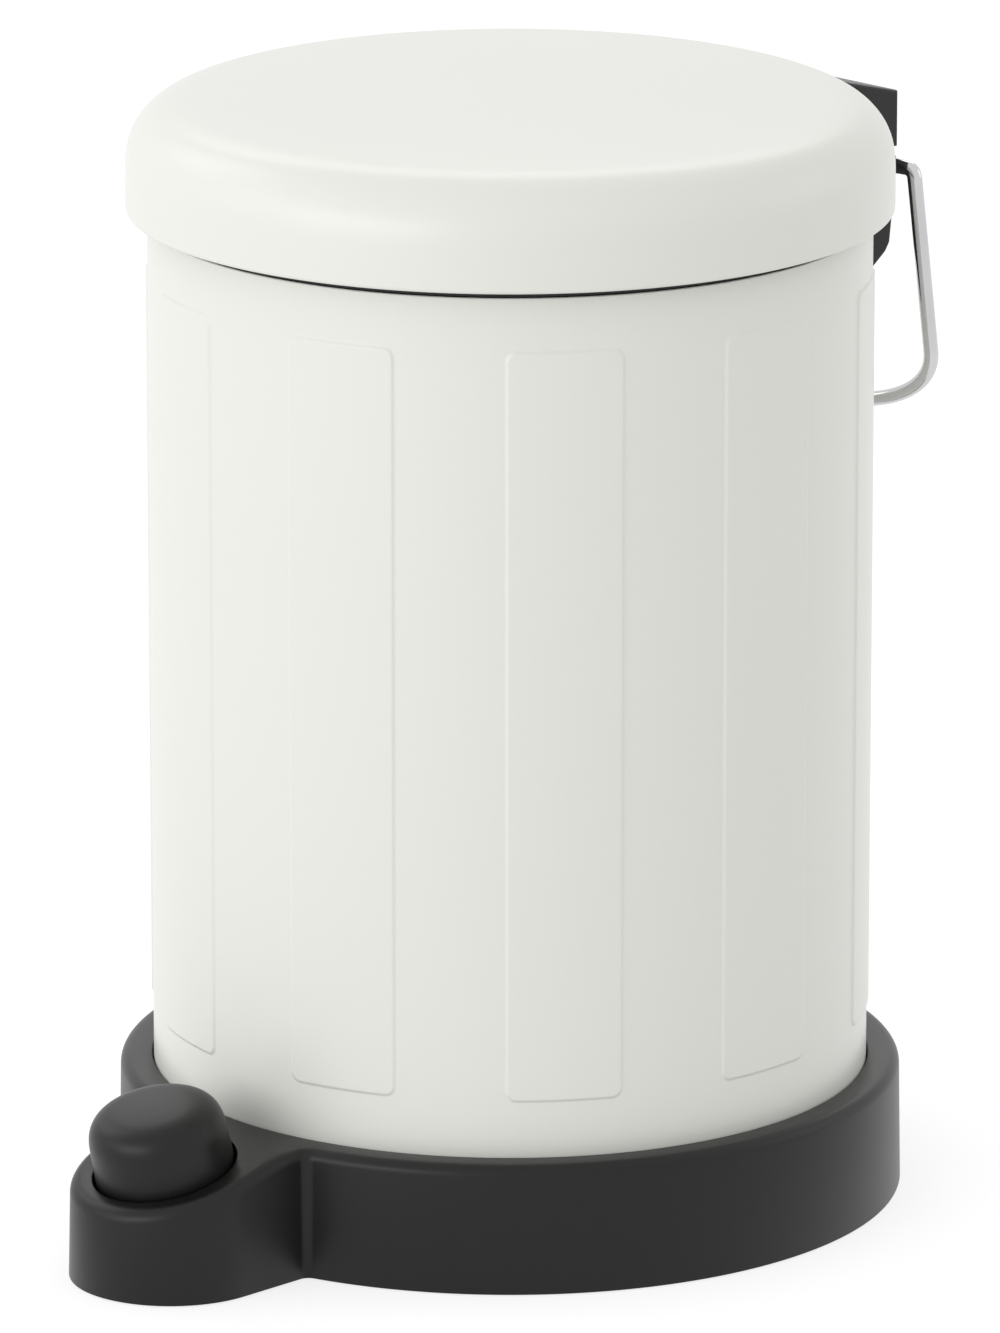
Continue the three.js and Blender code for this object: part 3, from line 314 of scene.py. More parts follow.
def carve(piece, cutter_shape):
    """Cuts one shape out of a piece for good."""
    cutter = bare("cutter", cutter_shape)
    change = piece.modifiers.new("carve", "BOOLEAN")
    change.operation, change.solver, change.object = "DIFFERENCE", "EXACT", cutter
    shown = piece.evaluated_get(bpy.context.evaluated_depsgraph_get())
    result = bpy.data.meshes.new_from_object(shown)
    piece.modifiers.clear()
    piece.data = result
    bpy.data.objects.remove(cutter)
    smooth(piece)
    print(piece.name, "after cutting has", len(result.polygons), "faces")


print("holes are cut by Blender's exact solver")

# %% [markdown]
# ## Finishes
# A finish is a node tree. Writing node by node hides the idea, so one small class wraps a socket:
# adding, taking away or multiplying it adds the Math node. Everything else comes from `node`.

# %% Sums on sockets


class Flow:
    """One output socket. Sums on it add Math nodes to its tree."""

    def __init__(self, board, socket):
        self.board, self.socket = board, socket

    def math(self, operation, a, b):
        return self.board.node("ShaderNodeMath", {"operation": operation}, {0: a, 1: b})

    def __add__(self, other):
        return self.math("ADD", self, other)

    __radd__ = __add__

    def __sub__(self, other):
        return self.math("SUBTRACT", self, other)

    def __rsub__(self, other):
        return self.math("SUBTRACT", other, self)

    def __mul__(self, other):
        return self.math("MULTIPLY", self, other)

    __rmul__ = __mul__

    def most(self, other):
        return self.math("MAXIMUM", self, other)


print("sockets can be added, taken away, multiplied and compared")

# %% [markdown]
# Any other node comes from one method. It takes the node's type, then its settings, because these
# decide which sockets there are, and then what goes into the sockets: a number, a colour or
# another socket.

# %% One method for every node


class Board:
    """A node tree, and the one method that adds to it."""

    def __init__(self, tree):
        self.tree = tree

    def node(self, kind, settings=None, inputs=None, output=0):
        made = self.tree.nodes.new(kind)
        for key, value in (settings or {}).items():
            setattr(made, key, value)
        for key, value in (inputs or {}).items():
            self.feed(made.inputs[key], value)
        return Flow(self, made.outputs[output]) if made.outputs else None

    def feed(self, socket, value):
        if isinstance(value, Flow):
            self.tree.links.new(value.socket, socket)
        else:
            socket.default_value = value

    def mixed(self, share, first, second):
        """A colour between two others."""
        blend = {0: share, 6: first, 7: second}
        return self.node("ShaderNodeMix", {"data_type": "RGBA"}, blend, 2)


print("a board makes any node, feeds sockets and mixes colours")

# %% [markdown]
# Each finish is a board that starts with a Principled shader. What is the same all over is set on
# the shader's own sockets. What varies is worked out from noise at a place in the piece's own
# space, so that it stays on the piece when a joint moves.

# %% A finish


class Finish(Board):
    """A material for one of the record's slots, with its own Principled shader."""

    def __init__(self, slot, **plain):
        self.slot = slot
        self.material = bpy.data.materials.new(slot + "_finish")
        self.material.use_nodes = True
        super().__init__(self.material.node_tree)
        self.shader = self.tree.nodes["Principled BSDF"]
        for key, value in plain.items():
            self.shader.inputs[key.replace("_", " ")].default_value = value
        self.spot = self.node("ShaderNodeTexCoord", output="Object")

    def noise(self, per_metre, detail=2.0, rough=0.5):
        """Soft random values from 0 to 1, with so many waves to a metre."""
        sizes = {"Vector": self.spot, "Scale": per_metre, "Detail": detail, "Roughness": rough}
        return self.node("ShaderNodeTexNoise", {}, sizes, "Fac")

    def give(self, name, flow):
        self.feed(self.shader.inputs[name], flow)

    def bump(self, height, strength, millimetres):
        sizes = {"Height": height, "Strength": strength, "Distance": millimetres * MM}
        self.give("Normal", self.node("ShaderNodeBump", {}, sizes, "Normal"))


print("a finish starts with", len(Finish("trial").tree.nodes), "nodes")
bpy.data.materials.remove(bpy.data.materials["trial_finish"])

# %% [markdown]
# **Powder coat.** Paint powder melts into a satin skin with a fine orange peel about a millimetre
# across. The white is a little warm and green, and is never quite even over a large tube. Noise
# of a few waves per bin moves the colour by about one percent, and the peel is a very low bump.
# The roughness stays above 0.28: on a smoother skin the render's noise filter leaves specks.

# %% Powder-coated steel
COAT_DARK, COAT_LIGHT = (0.835, 0.842, 0.785, 1), (0.855, 0.862, 0.808, 1)
powder_coat = Finish("painted_steel")
cloud = powder_coat.noise(7.0)
peel = powder_coat.noise(750.0, 1.0)
fleck = powder_coat.noise(140.0, 3.0, 0.6)
powder_coat.give("Base Color", powder_coat.mixed(cloud, COAT_DARK, COAT_LIGHT))
powder_coat.give("Roughness", 0.285 + 0.05 * fleck + 0.02 * peel)
powder_coat.bump(peel, 0.14, 0.02)
print("powder coat:", len(powder_coat.tree.nodes), "nodes")

# %% [markdown]
# **Moulded black plastic.** The tool's surface is spark-eroded, so the plastic has a fine even
# grain of some tenths of a millimetre and a soft sheen. Low hollows of the grain are duller than
# the tops, which handling polishes, so one noise drives both the bump and the roughness.

# %% Moulded plastics


def moulded(slot, dark, light, dull):
    finish = Finish(slot, Specular_IOR_Level=0.34)
    grain = finish.noise(2300.0, 2.0, 0.55)
    cloud = finish.noise(22.0, 2.0)
    finish.give("Base Color", finish.mixed(cloud, dark, light))
    finish.give("Roughness", dull - 0.10 * grain + 0.06 * cloud)
    finish.bump(grain, 0.30, 0.025)
    print(slot, "has", len(finish.tree.nodes), "nodes")
    return finish


black_plastic = moulded(
    "dark_plastic", (0.0040, 0.0042, 0.0041, 1), (0.0058, 0.0060, 0.0057, 1), 0.39
)
bucket_plastic = moulded(
    "bucket_plastic", (0.010, 0.0103, 0.0106, 1), (0.014, 0.0144, 0.0148, 1), 0.42
)

# %% [markdown]
# **Metals.** The bail is chromed wire: nearly a mirror, with faint drawing marks. The inner parts
# are zinc-plated. Both are plain metal to the shader, and differ in how grey and how rough they
# are. On the chrome, noise makes the marks and a slight haze.

# %% Chromed wire
CHROME_DARK, CHROME_LIGHT = (0.54, 0.545, 0.55, 1), (0.64, 0.645, 0.65, 1)
bright_chrome = Finish("chrome_wire", Metallic=1.0)
haze = bright_chrome.noise(60.0)
bright_chrome.give("Base Color", bright_chrome.mixed(haze, CHROME_DARK, CHROME_LIGHT))
bright_chrome.give("Roughness", 0.06 + 0.07 * bright_chrome.noise(900.0, 3.0, 0.6))
bright_chrome.bump(bright_chrome.noise(500.0, 2.0), 0.10, 0.01)
print("chrome:", len(bright_chrome.tree.nodes), "nodes")

# %% [markdown]
# Zinc plate is greyer and duller, and patchy where its crystals lie differently. A Voronoi pattern
# is made of such cells, and one channel of its random colours gives each crystal its own shade.

# %% Zinc plate
ZINC_DARK, ZINC_LIGHT = (0.46, 0.47, 0.48, 1), (0.60, 0.61, 0.61, 1)
zinc_plate = Finish("zinc_steel", Metallic=1.0)
crystals = {"Vector": zinc_plate.spot, "Scale": 420.0}
spangle = zinc_plate.node("ShaderNodeTexVoronoi", {}, crystals, "Color")
patch = zinc_plate.node("ShaderNodeSeparateColor", {}, {"Color": spangle}, "Red")
zinc_plate.give("Base Color", zinc_plate.mixed(patch, ZINC_DARK, ZINC_LIGHT))
zinc_plate.give("Roughness", 0.28 + 0.16 * patch + 0.05 * zinc_plate.noise(1500.0))
zinc_plate.bump(zinc_plate.noise(1200.0, 2.0), 0.25, 0.01)
print("zinc:", len(zinc_plate.tree.nodes), "nodes")

# %% [markdown]
# ## The body
# The tube is rolled from sheet, and ten tall panels are pressed outwards by half a millimetre.
# Such a press leaves a soft step, not an edge. A height field does this best: the tube is a grid
# of columns and rows, close together only where a panel's border passes, and each point moves out
# by how deep it lies inside the nearest panel's rounded outline.

# %% Where the panels rise
PANELS, BODY_RADIUS, BODY_WALL, PANEL_RISE = 10, 93.3, 0.8, 0.5
BODY_LOW, BODY_HIGH = 30.3, 258.4
PANEL_LOW, PANEL_HIGH, PANEL_CORNER, PANEL_BORDER = 48.8, 244.4, 2.6, 1.0
HALF_PITCH = BODY_RADIUS * math.pi / PANELS
HALF_PANEL = BODY_RADIUS * math.radians(9.1)


def panel_lift(along, z):
    """How far the wall stands out, `along` millimetres beside a panel's middle line."""
    x = abs(along) - (HALF_PANEL - PANEL_CORNER)
    y = abs(z - (PANEL_LOW + PANEL_HIGH) / 2) - ((PANEL_HIGH - PANEL_LOW) / 2 - PANEL_CORNER)
    away = math.hypot(max(x, 0), max(y, 0)) + min(max(x, y), 0) - PANEL_CORNER
    share = min(max(0.5 - away / PANEL_BORDER, 0), 1)
    return PANEL_RISE * share * share * (3 - 2 * share)


close = [0.2 * i for i in range(19)]  # steps over a border and its rounded corner
half_columns = [0, 4, 8, *[HALF_PANEL + 0.7 - d for d in close], 17.5, 20, 23, 26]
columns = sorted({*half_columns, *[-x for x in half_columns[1:]], HALF_PITCH})
rows = [
    36, 42, *[PANEL_LOW - 0.8 + d for d in close],
    *np.linspace(PANEL_LOW + 8, PANEL_HIGH - 8, 12).tolist(),
    *[PANEL_HIGH + 0.8 - d for d in reversed(close)], 251,
]
print(len(columns) * PANELS, "columns and", len(rows), "rows")

# %% [markdown]
# The skin is one closed loop of rings: down the inside, round the bottom edge, up the outside with
# its panels, and over the top edge. The raw edges of the sheet are eased by a fifth of a
# millimetre.

# %% The body's skin
INNER, SHEET_EASE = BODY_RADIUS - BODY_WALL, 0.2


def body_ring(z, radius=None, shrink=0.0):
    """A ring of the tube: plain if a radius is given, else with the panels' rise."""
    ring = []
    for panel in range(PANELS):
        middle = math.radians(360 / PANELS * (panel + 0.5) - 90)
        for along in columns:
            angle = middle + along / BODY_RADIUS
            r = radius or BODY_RADIUS + panel_lift(along, z) - shrink
            ring.append((r * math.cos(angle), r * math.sin(angle), z))
    return ring


edge_in = [body_ring(BODY_HIGH - SHEET_EASE, INNER), body_ring(BODY_LOW + SHEET_EASE, INNER)]
edge_low = [
    body_ring(BODY_LOW, INNER + SHEET_EASE), body_ring(BODY_LOW, shrink=SHEET_EASE),
    body_ring(BODY_LOW + SHEET_EASE),
]
edge_high = [
    body_ring(BODY_HIGH - SHEET_EASE), body_ring(BODY_HIGH, shrink=SHEET_EASE),
    body_ring(BODY_HIGH, INNER + SHEET_EASE),
]
outside = [body_ring(z) for z in rows]
body_skin = make_piece(
    "body_skin", skinned([*edge_in, *edge_low, *outside, *edge_high], joined=True),
    powder_coat, "bin", ["body_shell"],
)

# %% [markdown]
# The push rod leaves the tube through an upright slot at the back, and two screws, ten degrees to
# each side, hold the bracket on. The lid's bracket has two more screws above them.

# %% Slot and screw holes
SLOT_HALF, SLOT_LOW, SLOT_HIGH = 2.5, 220.8, 247.7
SCREW_HOLE, SCREW_TURN, BODY_SCREW_Z, LID_SCREW_Z = 1.8, 10, 243.4, 268.0


def screw_bars(inner, outer, z):
    """Two round bars that point away from the bin's axis, one to each side of +Y."""
    bar = turned([(0, inner), (SCREW_HOLE, inner), (SCREW_HOLE, outer), (0, outer)], 24)
    bars = []
    for degrees in (SCREW_TURN, -SCREW_TURN):
        c, s = math.cos(math.radians(degrees)), math.sin(math.radians(degrees))
        bars.append(placed(bar, lambda x, y, h, c=c, s=s: (x * c - h * s, x * s + h * c, z + y)))
    return bars


def box(x, y, z):
    """A box between two values of x, of y and of z."""
    loop = [(x[0], y[0]), (x[1], y[0]), (x[1], y[1]), (x[0], y[1])]
    return plate(loop, [], z[0], z[1])


slot_bar = box((-SLOT_HALF, SLOT_HALF), (80, 97), (SLOT_LOW, SLOT_HIGH))
carve(body_skin, together(slot_bar, *screw_bars(80, 97, BODY_SCREW_Z)))

# %% [markdown]
# ## The lid
# The lid is drawn from the same sheet: a straight rim, a round shoulder and a crown that is
# almost flat. Its bottom edge is rolled inwards into a hem. A fine turned skin gives the smooth
# highlight on the shoulder that a coarse solid can't. Inside and outside are drawn apart, because
# only the outside is seen in a raking light and needs the softened profile.

# %% The lid's skin
LID_RADIUS, LID_WALL, LID_LOW, HEM = 98.9, 0.8, 260.6, 0.9
SHOULDER_Z, SHOULDER, LID_TOP, LID_SOFTNESS = 273.8, 14.8, 291.0, 5.0
lid_dome = dome(LID_RADIUS, SHOULDER_Z, SHOULDER, LID_TOP, 22, 16)
outside = softened([(LID_RADIUS, LID_LOW + HEM), *lid_dome], LID_SOFTNESS)
inside = dome(
    LID_RADIUS - LID_WALL, SHOULDER_Z, SHOULDER - LID_WALL, LID_TOP - LID_WALL, 14, 8
)[::-1]
roll_start = math.acos((HEM - LID_WALL) / HEM)
hem = arc(LID_RADIUS - HEM, LID_LOW + HEM, HEM, roll_start, 2 * math.pi, 14)[:-1]
lid_skin = make_piece(
    "lid_skin", turned([*inside, *hem, *outside], 256), powder_coat, "lid", ["lid_shell"]
)
carve(lid_skin, together(*screw_bars(85, 101, LID_SCREW_Z)))

# %% [markdown]
# ## The base
# One moulding: a round skirt with a lobe at the front for the button. Its outline is two circles
# joined by hollow fillets. The same outline, drawn at growing insets, gives every level of the
# skin, so it is a function of the inset.

# %% The base's outline
BASE_RADIUS, LOBE_Y, LOBE_HALF, LOBE_FILLET = 102.5, -121.0, 26.6, 2.6


def plan(inset):
    """The base's outline, `inset` millimetres inside its widest line."""
    ring, half, fillet = BASE_RADIUS - inset, LOBE_HALF - inset, LOBE_FILLET + inset
    fx = half + fillet
    fy = -math.sqrt((ring + fillet) ** 2 - fx**2)
    turn = math.atan2(fy, fx)
    side = [fy + (LOBE_Y - fy) * i / 16 for i in range(1, 16)]
    return [
        *arc(0, 0, ring, turn, math.pi - turn, 230)[:-1],
        *arc(-fx, fy, fillet, -turn, 0, 10),
        *[(-half, y) for y in side],
        *arc(0, LOBE_Y, half, math.pi, 2 * math.pi, 64),
        *[(half, y) for y in reversed(side)],
        *arc(fx, fy, fillet, math.pi, math.pi + turn, 10)[:-1],
    ]


print("the outline has", len(plan(0)), "points")

# %% [markdown]
# The top is level round the tube and slopes down over the lobe, with a soft bend between. So each
# height is a function of y. The button moves square to the slope, and its parts are drawn upright
# and then set there by one more function.

# %% The base's heights
BASE_HIGH, ROOF_Z, LOBE_WALL = 34.0, 27.8, 2.4
SLOPE, SLOPE_START, BEND_REACH, BUTTON_Y = math.radians(14.3), -106.5, 5.0, -123.7


def top_height(y):
    """The base's top: level, then a soft bend into the lobe's slope."""
    past = SLOPE_START - y
    if past <= -BEND_REACH:
        return BASE_HIGH
    if past >= BEND_REACH:
        return BASE_HIGH - math.tan(SLOPE) * past
    return BASE_HIGH - math.tan(SLOPE) * (past + BEND_REACH) ** 2 / (4 * BEND_REACH)


def roof_height(y):
    """The underside of the deck and of the lobe's top."""
    return min(ROOF_Z, BASE_HIGH + math.tan(SLOPE) * (y - SLOPE_START) - LOBE_WALL)


def on_lobe(x, y, z):
    """From a place square to the lobe's top, about the button's axis, to the bin's own frame."""
    seat = BASE_HIGH + math.tan(SLOPE) * (BUTTON_Y - SLOPE_START)
    c, s = math.cos(SLOPE), math.sin(SLOPE)
    return x, BUTTON_Y + y * c - z * s, seat + y * s + z * c


print("the button's seat is at", on_lobe(0, 0, 0))

# %% [markdown]
# The skirt leans in by half a millimetre on its way up, as every moulding must to leave its tool.
# Its foot is eased, and the whole top edge has one radius of 3 mm, walked in eight steps.

# %% Skirt and top edge
SKIRT_WALL, DRAFT, TOP_EDGE = 2.2, 0.5, 3


def level(inset, height):
    """The outline at one inset, with each point at height(y)."""
    return [(x, y, height(y)) for x, y in plan(inset)]


foot = [(SKIRT_WALL, 0.0), (0.4, 0.0), (0.12, 0.12), (0.0, 0.4)]
skirt = [level(inset, lambda y, z=z: z) for inset, z in foot]
for step in range(9):
    bent = math.pi / 2 * step / 8
    below = TOP_EDGE * (1 - math.sin(bent))
    inset = DRAFT + TOP_EDGE * (1 - math.cos(bent))
    skirt.append(level(inset, lambda y, below=below: top_height(y) - below))
inner_wall = skinned([skirt[0], level(SKIRT_WALL + DRAFT, roof_height)])
print("the skirt has", len(skirt), "levels")

# %% [markdown]
# The button's hole has an eased mouth and runs on as a sleeve, square to the slope. The sleeve's
# outside ends where it meets the underside of the lobe, at a height that a few steps find.

# %% The button's sleeve
HOLE, SLEEVE, SLEEVE_FOOT = 18.65, 20.45, -8


def sleeve_top(x, y):
    """Climbs the sleeve's outside until it meets the roof."""
    up = 0.0
    for _ in range(20):
        at = on_lobe(x, y, up)
        up += (roof_height(at[1]) - at[2]) / math.cos(SLOPE)
    return on_lobe(x, y, up)


eased_mouth = [(HOLE + 0.5, 0), (HOLE + 0.25, -0.07), (HOLE + 0.07, -0.25), (HOLE, -0.5)]
mouth = [
    [on_lobe(x, y, z) for x, y in circle(r, 96)]
    for r, z in [*eased_mouth, (HOLE, SLEEVE_FOOT), (SLEEVE, SLEEVE_FOOT)]
]
mouth.append([sleeve_top(x, y) for x, y in circle(SLEEVE, 96)])
print("the sleeve has", len(mouth), "rings")

# %% [markdown]
# The tube stands in a groove of the base. Outside it the top sheet reaches to the outline and
# round the button's hole, and inside it the deck carries the bucket. The roof is the underside of
# both, and a bore lets the push rod through. The top gets extra points at the bend, because a
# long triangle would cut across it.

# %% Groove, top, deck and roof
GROOVE_OUT, GROOVE_IN, GROOVE_Z, DECK_Z = 93.7, 92.2, 30, 32.0
ROD_Y, ROD_BORE = 88.6, 2.5
bend = [
    (x, y)
    for y in np.arange(-113, -99, 1.0)
    for x in np.arange(-22, 22.1, 2.0)
    if math.hypot(x, (y - BUTTON_Y) / math.cos(SLOPE)) > HOLE + 1.5
    and math.hypot(x, y) > GROOVE_OUT + 1.2
]
groove = turned(
    [
        (GROOVE_OUT + 0.4, BASE_HIGH), (GROOVE_OUT + 0.12, BASE_HIGH - 0.12),
        (GROOVE_OUT, BASE_HIGH - 0.4), (GROOVE_OUT, GROOVE_Z), (GROOVE_IN, GROOVE_Z),
        (GROOVE_IN, DECK_Z - 0.3), (GROOVE_IN - 0.3, DECK_Z),
    ],
    180,
)
rod_hole = circle(ROD_BORE, 24, 0, ROD_Y)
top_holes = [circle(GROOVE_OUT + 0.4, 180), [p[:2] for p in mouth[0]]]
base_top = filled(plan(DRAFT + TOP_EDGE), top_holes, lambda x, y: top_height(y), bend)
deck = filled(circle(GROOVE_IN - 0.3, 180), [rod_hole], lambda x, y: DECK_Z)
roof_holes = [[p[:2] for p in mouth[-1]], rod_hole]
roof = filled(plan(SKIRT_WALL + DRAFT), roof_holes, lambda x, y: roof_height(y))
rod_bore = skinned([[(x, y, z) for x, y in rod_hole] for z in (DECK_Z, ROOF_Z)])
print("top, deck and roof have", *[len(sheet[1]) for sheet in (base_top, deck, roof)], "faces")

# %% [markdown]
# Under the deck stand two cheeks with a bore for the lever's pin, and four bosses for the screws
# of the bottom plate. They reach a little into the roof, so that no light shows between.

# %% Cheeks, bosses and the whole base
PIN_Y, PIN_Z, PIN_BORE, BOSS_AT, INTO_ROOF = -30.3, 12, 2.75, 57.983, 28.4
CHEEK_FRONT, CHEEK_BACK, CHEEK_LOW = -38.3, -22.3, 6.8
BOSS_HOLE, BOSS_RADIUS, BOSS_LOW = 1.6, 4.5, 2.7
cheek_outline = [
    (CHEEK_FRONT, CHEEK_LOW), (CHEEK_BACK, CHEEK_LOW),
    (CHEEK_BACK, INTO_ROOF), (CHEEK_FRONT, INTO_ROOF),
]
cheek = plate(cheek_outline, [circle(PIN_BORE, 24, PIN_Y, PIN_Z)], 7.5, 12.5)
cheeks = [placed(cheek, lambda a, b, w, s=s: (s * w, a, b)) for s in (-1, 1)]
boss_outline = [
    (BOSS_HOLE, BOSS_LOW), (BOSS_RADIUS, BOSS_LOW),
    (BOSS_RADIUS, INTO_ROOF), (BOSS_HOLE, INTO_ROOF),
]
boss = turned(boss_outline, 32, joined=True)
spots = [(s * BOSS_AT, t * BOSS_AT) for s in (-1, 1) for t in (-1, 1)]
bosses = [placed(boss, lambda x, y, z, p=p: (x + p[0], y + p[1], z)) for p in spots]
sheets = [groove, base_top, deck, roof]
base_skin = make_piece(
    "base_skin",
    together(skinned(skirt), skinned(mouth), *sheets, rod_bore, inner_wall, *cheeks, *bosses),
    black_plastic, "bin", ["base_housing"],
)

# %% [markdown]
# ## The pedal button
# A hollow cap with a domed top, on a stem that pushes the lever. It is turned upright about its
# own axis and then set square to the lobe's slope, where a gap of about half a millimetre shows
# black all round it.

# %% The button's skin
BUTTON_RADIUS, BUTTON_WALL, BUTTON_TOP, BUTTON_FOOT = 18.2, 2.2, 17.7, -8.0
CAP_SHOULDER_Z, STEM_RADIUS, STEM_FOOT, STEM_TOP = 10.3, 4, -10, 16.6
cap_foot = (BUTTON_RADIUS, BUTTON_FOOT + 0.3)
cap_dome = dome(BUTTON_RADIUS - 0.5, CAP_SHOULDER_Z, 6.8, BUTTON_TOP, 20, 12)
cap_outside = softened([cap_foot, *cap_dome], 3.0)
cap_inside = dome(
    BUTTON_RADIUS - 0.5 - BUTTON_WALL, CAP_SHOULDER_Z, 4.6, BUTTON_TOP - BUTTON_WALL, 12, 8
)[::-1]
cap_rim = [(BUTTON_RADIUS - BUTTON_WALL, BUTTON_FOOT), (BUTTON_RADIUS - 0.3, BUTTON_FOOT)]
cap = turned([*cap_inside, *cap_rim, *cap_outside], 128)
stem_side = [
    (0, STEM_FOOT), (STEM_RADIUS - 0.4, STEM_FOOT), (STEM_RADIUS, STEM_FOOT + 0.4),
    (STEM_RADIUS, STEM_TOP), (0, STEM_TOP),
]
button_skin = make_piece(
    "button_skin", placed(together(cap, turned(stem_side, 32)), on_lobe),
    black_plastic, "button", ["pedal_button"],
)

# %% [markdown]
# ## Collar and bucket
# The collar is a moulded ring that closes the tube's raw top edge and carries the bucket's rim.
# Its whole section is one closed outline with rounded corners, turned once round the bin.

# %% The collar
collar_outline = [
    (85.4, 256.4, 0.4), (90.2, 256.4, 0.3), (90.2, 255.4, 0.3), (92.2, 255.4, 0.4),
    (92.2, 258.7, 0.2), (93.3, 258.7, 0.3), (93.3, 260.4, 0.5), (91.8, 261.9, 0.4),
    (90.8, 261.9, 0.4), (90.8, 258.2, 0.3), (85.4, 258.2, 0.4),
]
collar_skin = make_piece(
    "collar_skin", turned(eased(collar_outline), 192, joined=True),
    black_plastic, "bin", ["collar_ring"],
)

# %% [markdown]
# The bucket tapers a little, so that it can be lifted out. It is turned like the collar. The two
# ears that hold its handle are flat plates with a hole, drawn once and set on either side.

# %% The bucket
EAR_Z, EAR_BORE = 262.1, 1.75
bucket_outline = [
    (0, 32.3, 0), (78.0, 32.3, 5.0), (85.0, 258.5, 0.5), (90.3, 258.5, 0.4), (90.3, 260.3, 0.6),
    (83.5, 260.3, 0.8), (76.6, 34.3, 3.6), (0, 34.3, 0),
]
bucket_wall = turned(eased(bucket_outline, 6), 192)
ear_outline = eased([(-5, 259.6, 0.01), (5, 259.6, 0.01), (5, 265.6, 3.0), (-5, 265.6, 3.0)], 6)
ear = plate(ear_outline, [circle(EAR_BORE, 24, 0, EAR_Z)], 82.6, 86.0)
ears = [placed(ear, lambda a, b, w, s=s: (s * w, a, b)) for s in (-1, 1)]
bucket_skin = make_piece(
    "bucket_skin", together(bucket_wall, *ears), bucket_plastic, "bin", ["inner_bucket"]
)

# %% [markdown]
# ## Wires
# Bent wire is a small circle carried along a line. All wires here lie in one plane, so the frame
# at each point is simply the line's own direction and that plane's normal. A bevelled curve would
# do too, but here the cut ends can be eased.

# %% A wire along a line
END_EASE = [(0.45, 0.0), (0.13, 0.13), (0.0, 0.45)]  # how far in, and how far from the end


def wire(line, normal, radius, sides=24):
    """A round wire along a line that lies in the plane of `normal`, with eased ends."""
    line = [Vector(p) for p in line]
    flat = Vector(normal).normalized()
    steps = [2 * math.pi * k / sides for k in range(sides)]
    rings = []
    for i, p in enumerate(line):
        ahead = (line[min(i + 1, len(line) - 1)] - line[max(i - 1, 0)]).normalized()
        across = ahead.cross(flat)
        ends = [(0.0, 0.0)] if 0 < i < len(line) - 1 else END_EASE
        if i == len(line) - 1:
            ends = [(shrink, -back) for shrink, back in ends][::-1]
        for shrink, back in ends:
            r, at = radius - shrink, p + ahead * back
            rings.append([at + (across * math.cos(a) + flat * math.sin(a)) * r for a in steps])
    shape = skinned([[tuple(p) for p in ring] for ring in rings])
    caps = [tuple(range(sides)), tuple(len(shape[0]) - sides + k for k in range(sides))]
    return shape[0], [*shape[1], *caps]


def bezier(controls, steps):
    """Points of a quadratic or cubic curve through its control points."""
    out = []
    for i in range(steps + 1):
        t, line = i / steps, [Vector(p) for p in controls]
        while len(line) > 1:
            line = [a.lerp(b, t) for a, b in zip(line, line[1:])]
        out.append(line[0])
    return out


print("a trial wire has", len(wire([(0, 0, 0), (1, 0, 0)], (0, 0, 1), 1)[0]), "points")

# %% [markdown]
# The bail's ends turn in to the bracket's bores, its legs spread a little on the way down, and
# its foot is one long smooth curve. It is made for one side and mirrored.

# %% The bail
HINGE_Y, HINGE_Z, BAIL_HALF, BAIL_DROP, BAIL_BEND = 114.7, 257.0, 34.2, 66.4, 2.4


def drop(x, below):
    """A place in the bail's plane, so far below the hinge."""
    return Vector((x, HINGE_Y, HINGE_Z - below))


shoulder, leg_end = drop(BAIL_HALF, 0), drop(40.9, 47.5)
lean = (leg_end - shoulder).normalized()
leg_start = shoulder + lean * BAIL_BEND
upper = [drop(18, 0), *bezier([drop(BAIL_HALF - BAIL_BEND, 0), shoulder, leg_start], 12)]
leg = [leg_start + (leg_end - leg_start) * i / 6 for i in range(1, 6)]
bow = [leg_end, leg_end + lean * 11.7, drop(22.5, BAIL_DROP), drop(0, BAIL_DROP)]
right_half = [*upper, *leg, *bezier(bow, 40)]
left_half = [Vector((-p.x, p.y, p.z)) for p in right_half[-2::-1]]
bail_skin = make_piece(
    "bail_skin", wire([*right_half, *left_half], (0, 1, 0), 2.0, 28),
    bright_chrome, "bail", ["bail_handle"],
)

# %% [markdown]
# The bucket's handle is zinc-plated wire that lies round the front half of the rim. Its ends turn
# in through the bucket's ears. It is drawn flat about the origin and then lifted to the ears.

# %% The bucket's handle
HANDLE_RING, HANDLE_BEND, HANDLE_END = 88.6, 2.6, (81.1, 0, 0)
start = HANDLE_BEND / HANDLE_RING
sweep = [(x, y, 0) for x, y in arc(0, 0, HANDLE_RING, -start, -math.pi + start, 90)]
turn_in = bezier([(HANDLE_RING - HANDLE_BEND, 0, 0), (HANDLE_RING, 0, 0), sweep[0]], 8)[:-1]
near_end = [HANDLE_END, *[tuple(p) for p in turn_in]]
far_end = [(-p[0], p[1], 0) for p in reversed(near_end)]
handle_wire = wire([*near_end, *sweep, *far_end], (0, 0, 1), 1.5)
handle_skin = make_piece(
    "bucket_handle_skin", placed(handle_wire, lambda x, y, z: (x, y, z + EAR_Z)),
    zinc_plate, "bin", ["bucket_handle"],
)

# %% [markdown]
# The push rod runs up behind the bucket and is cranked outwards to the hinge, with a small plastic
# tip on which the lid's arm rests. Its two ends are taken from the solid's own box.

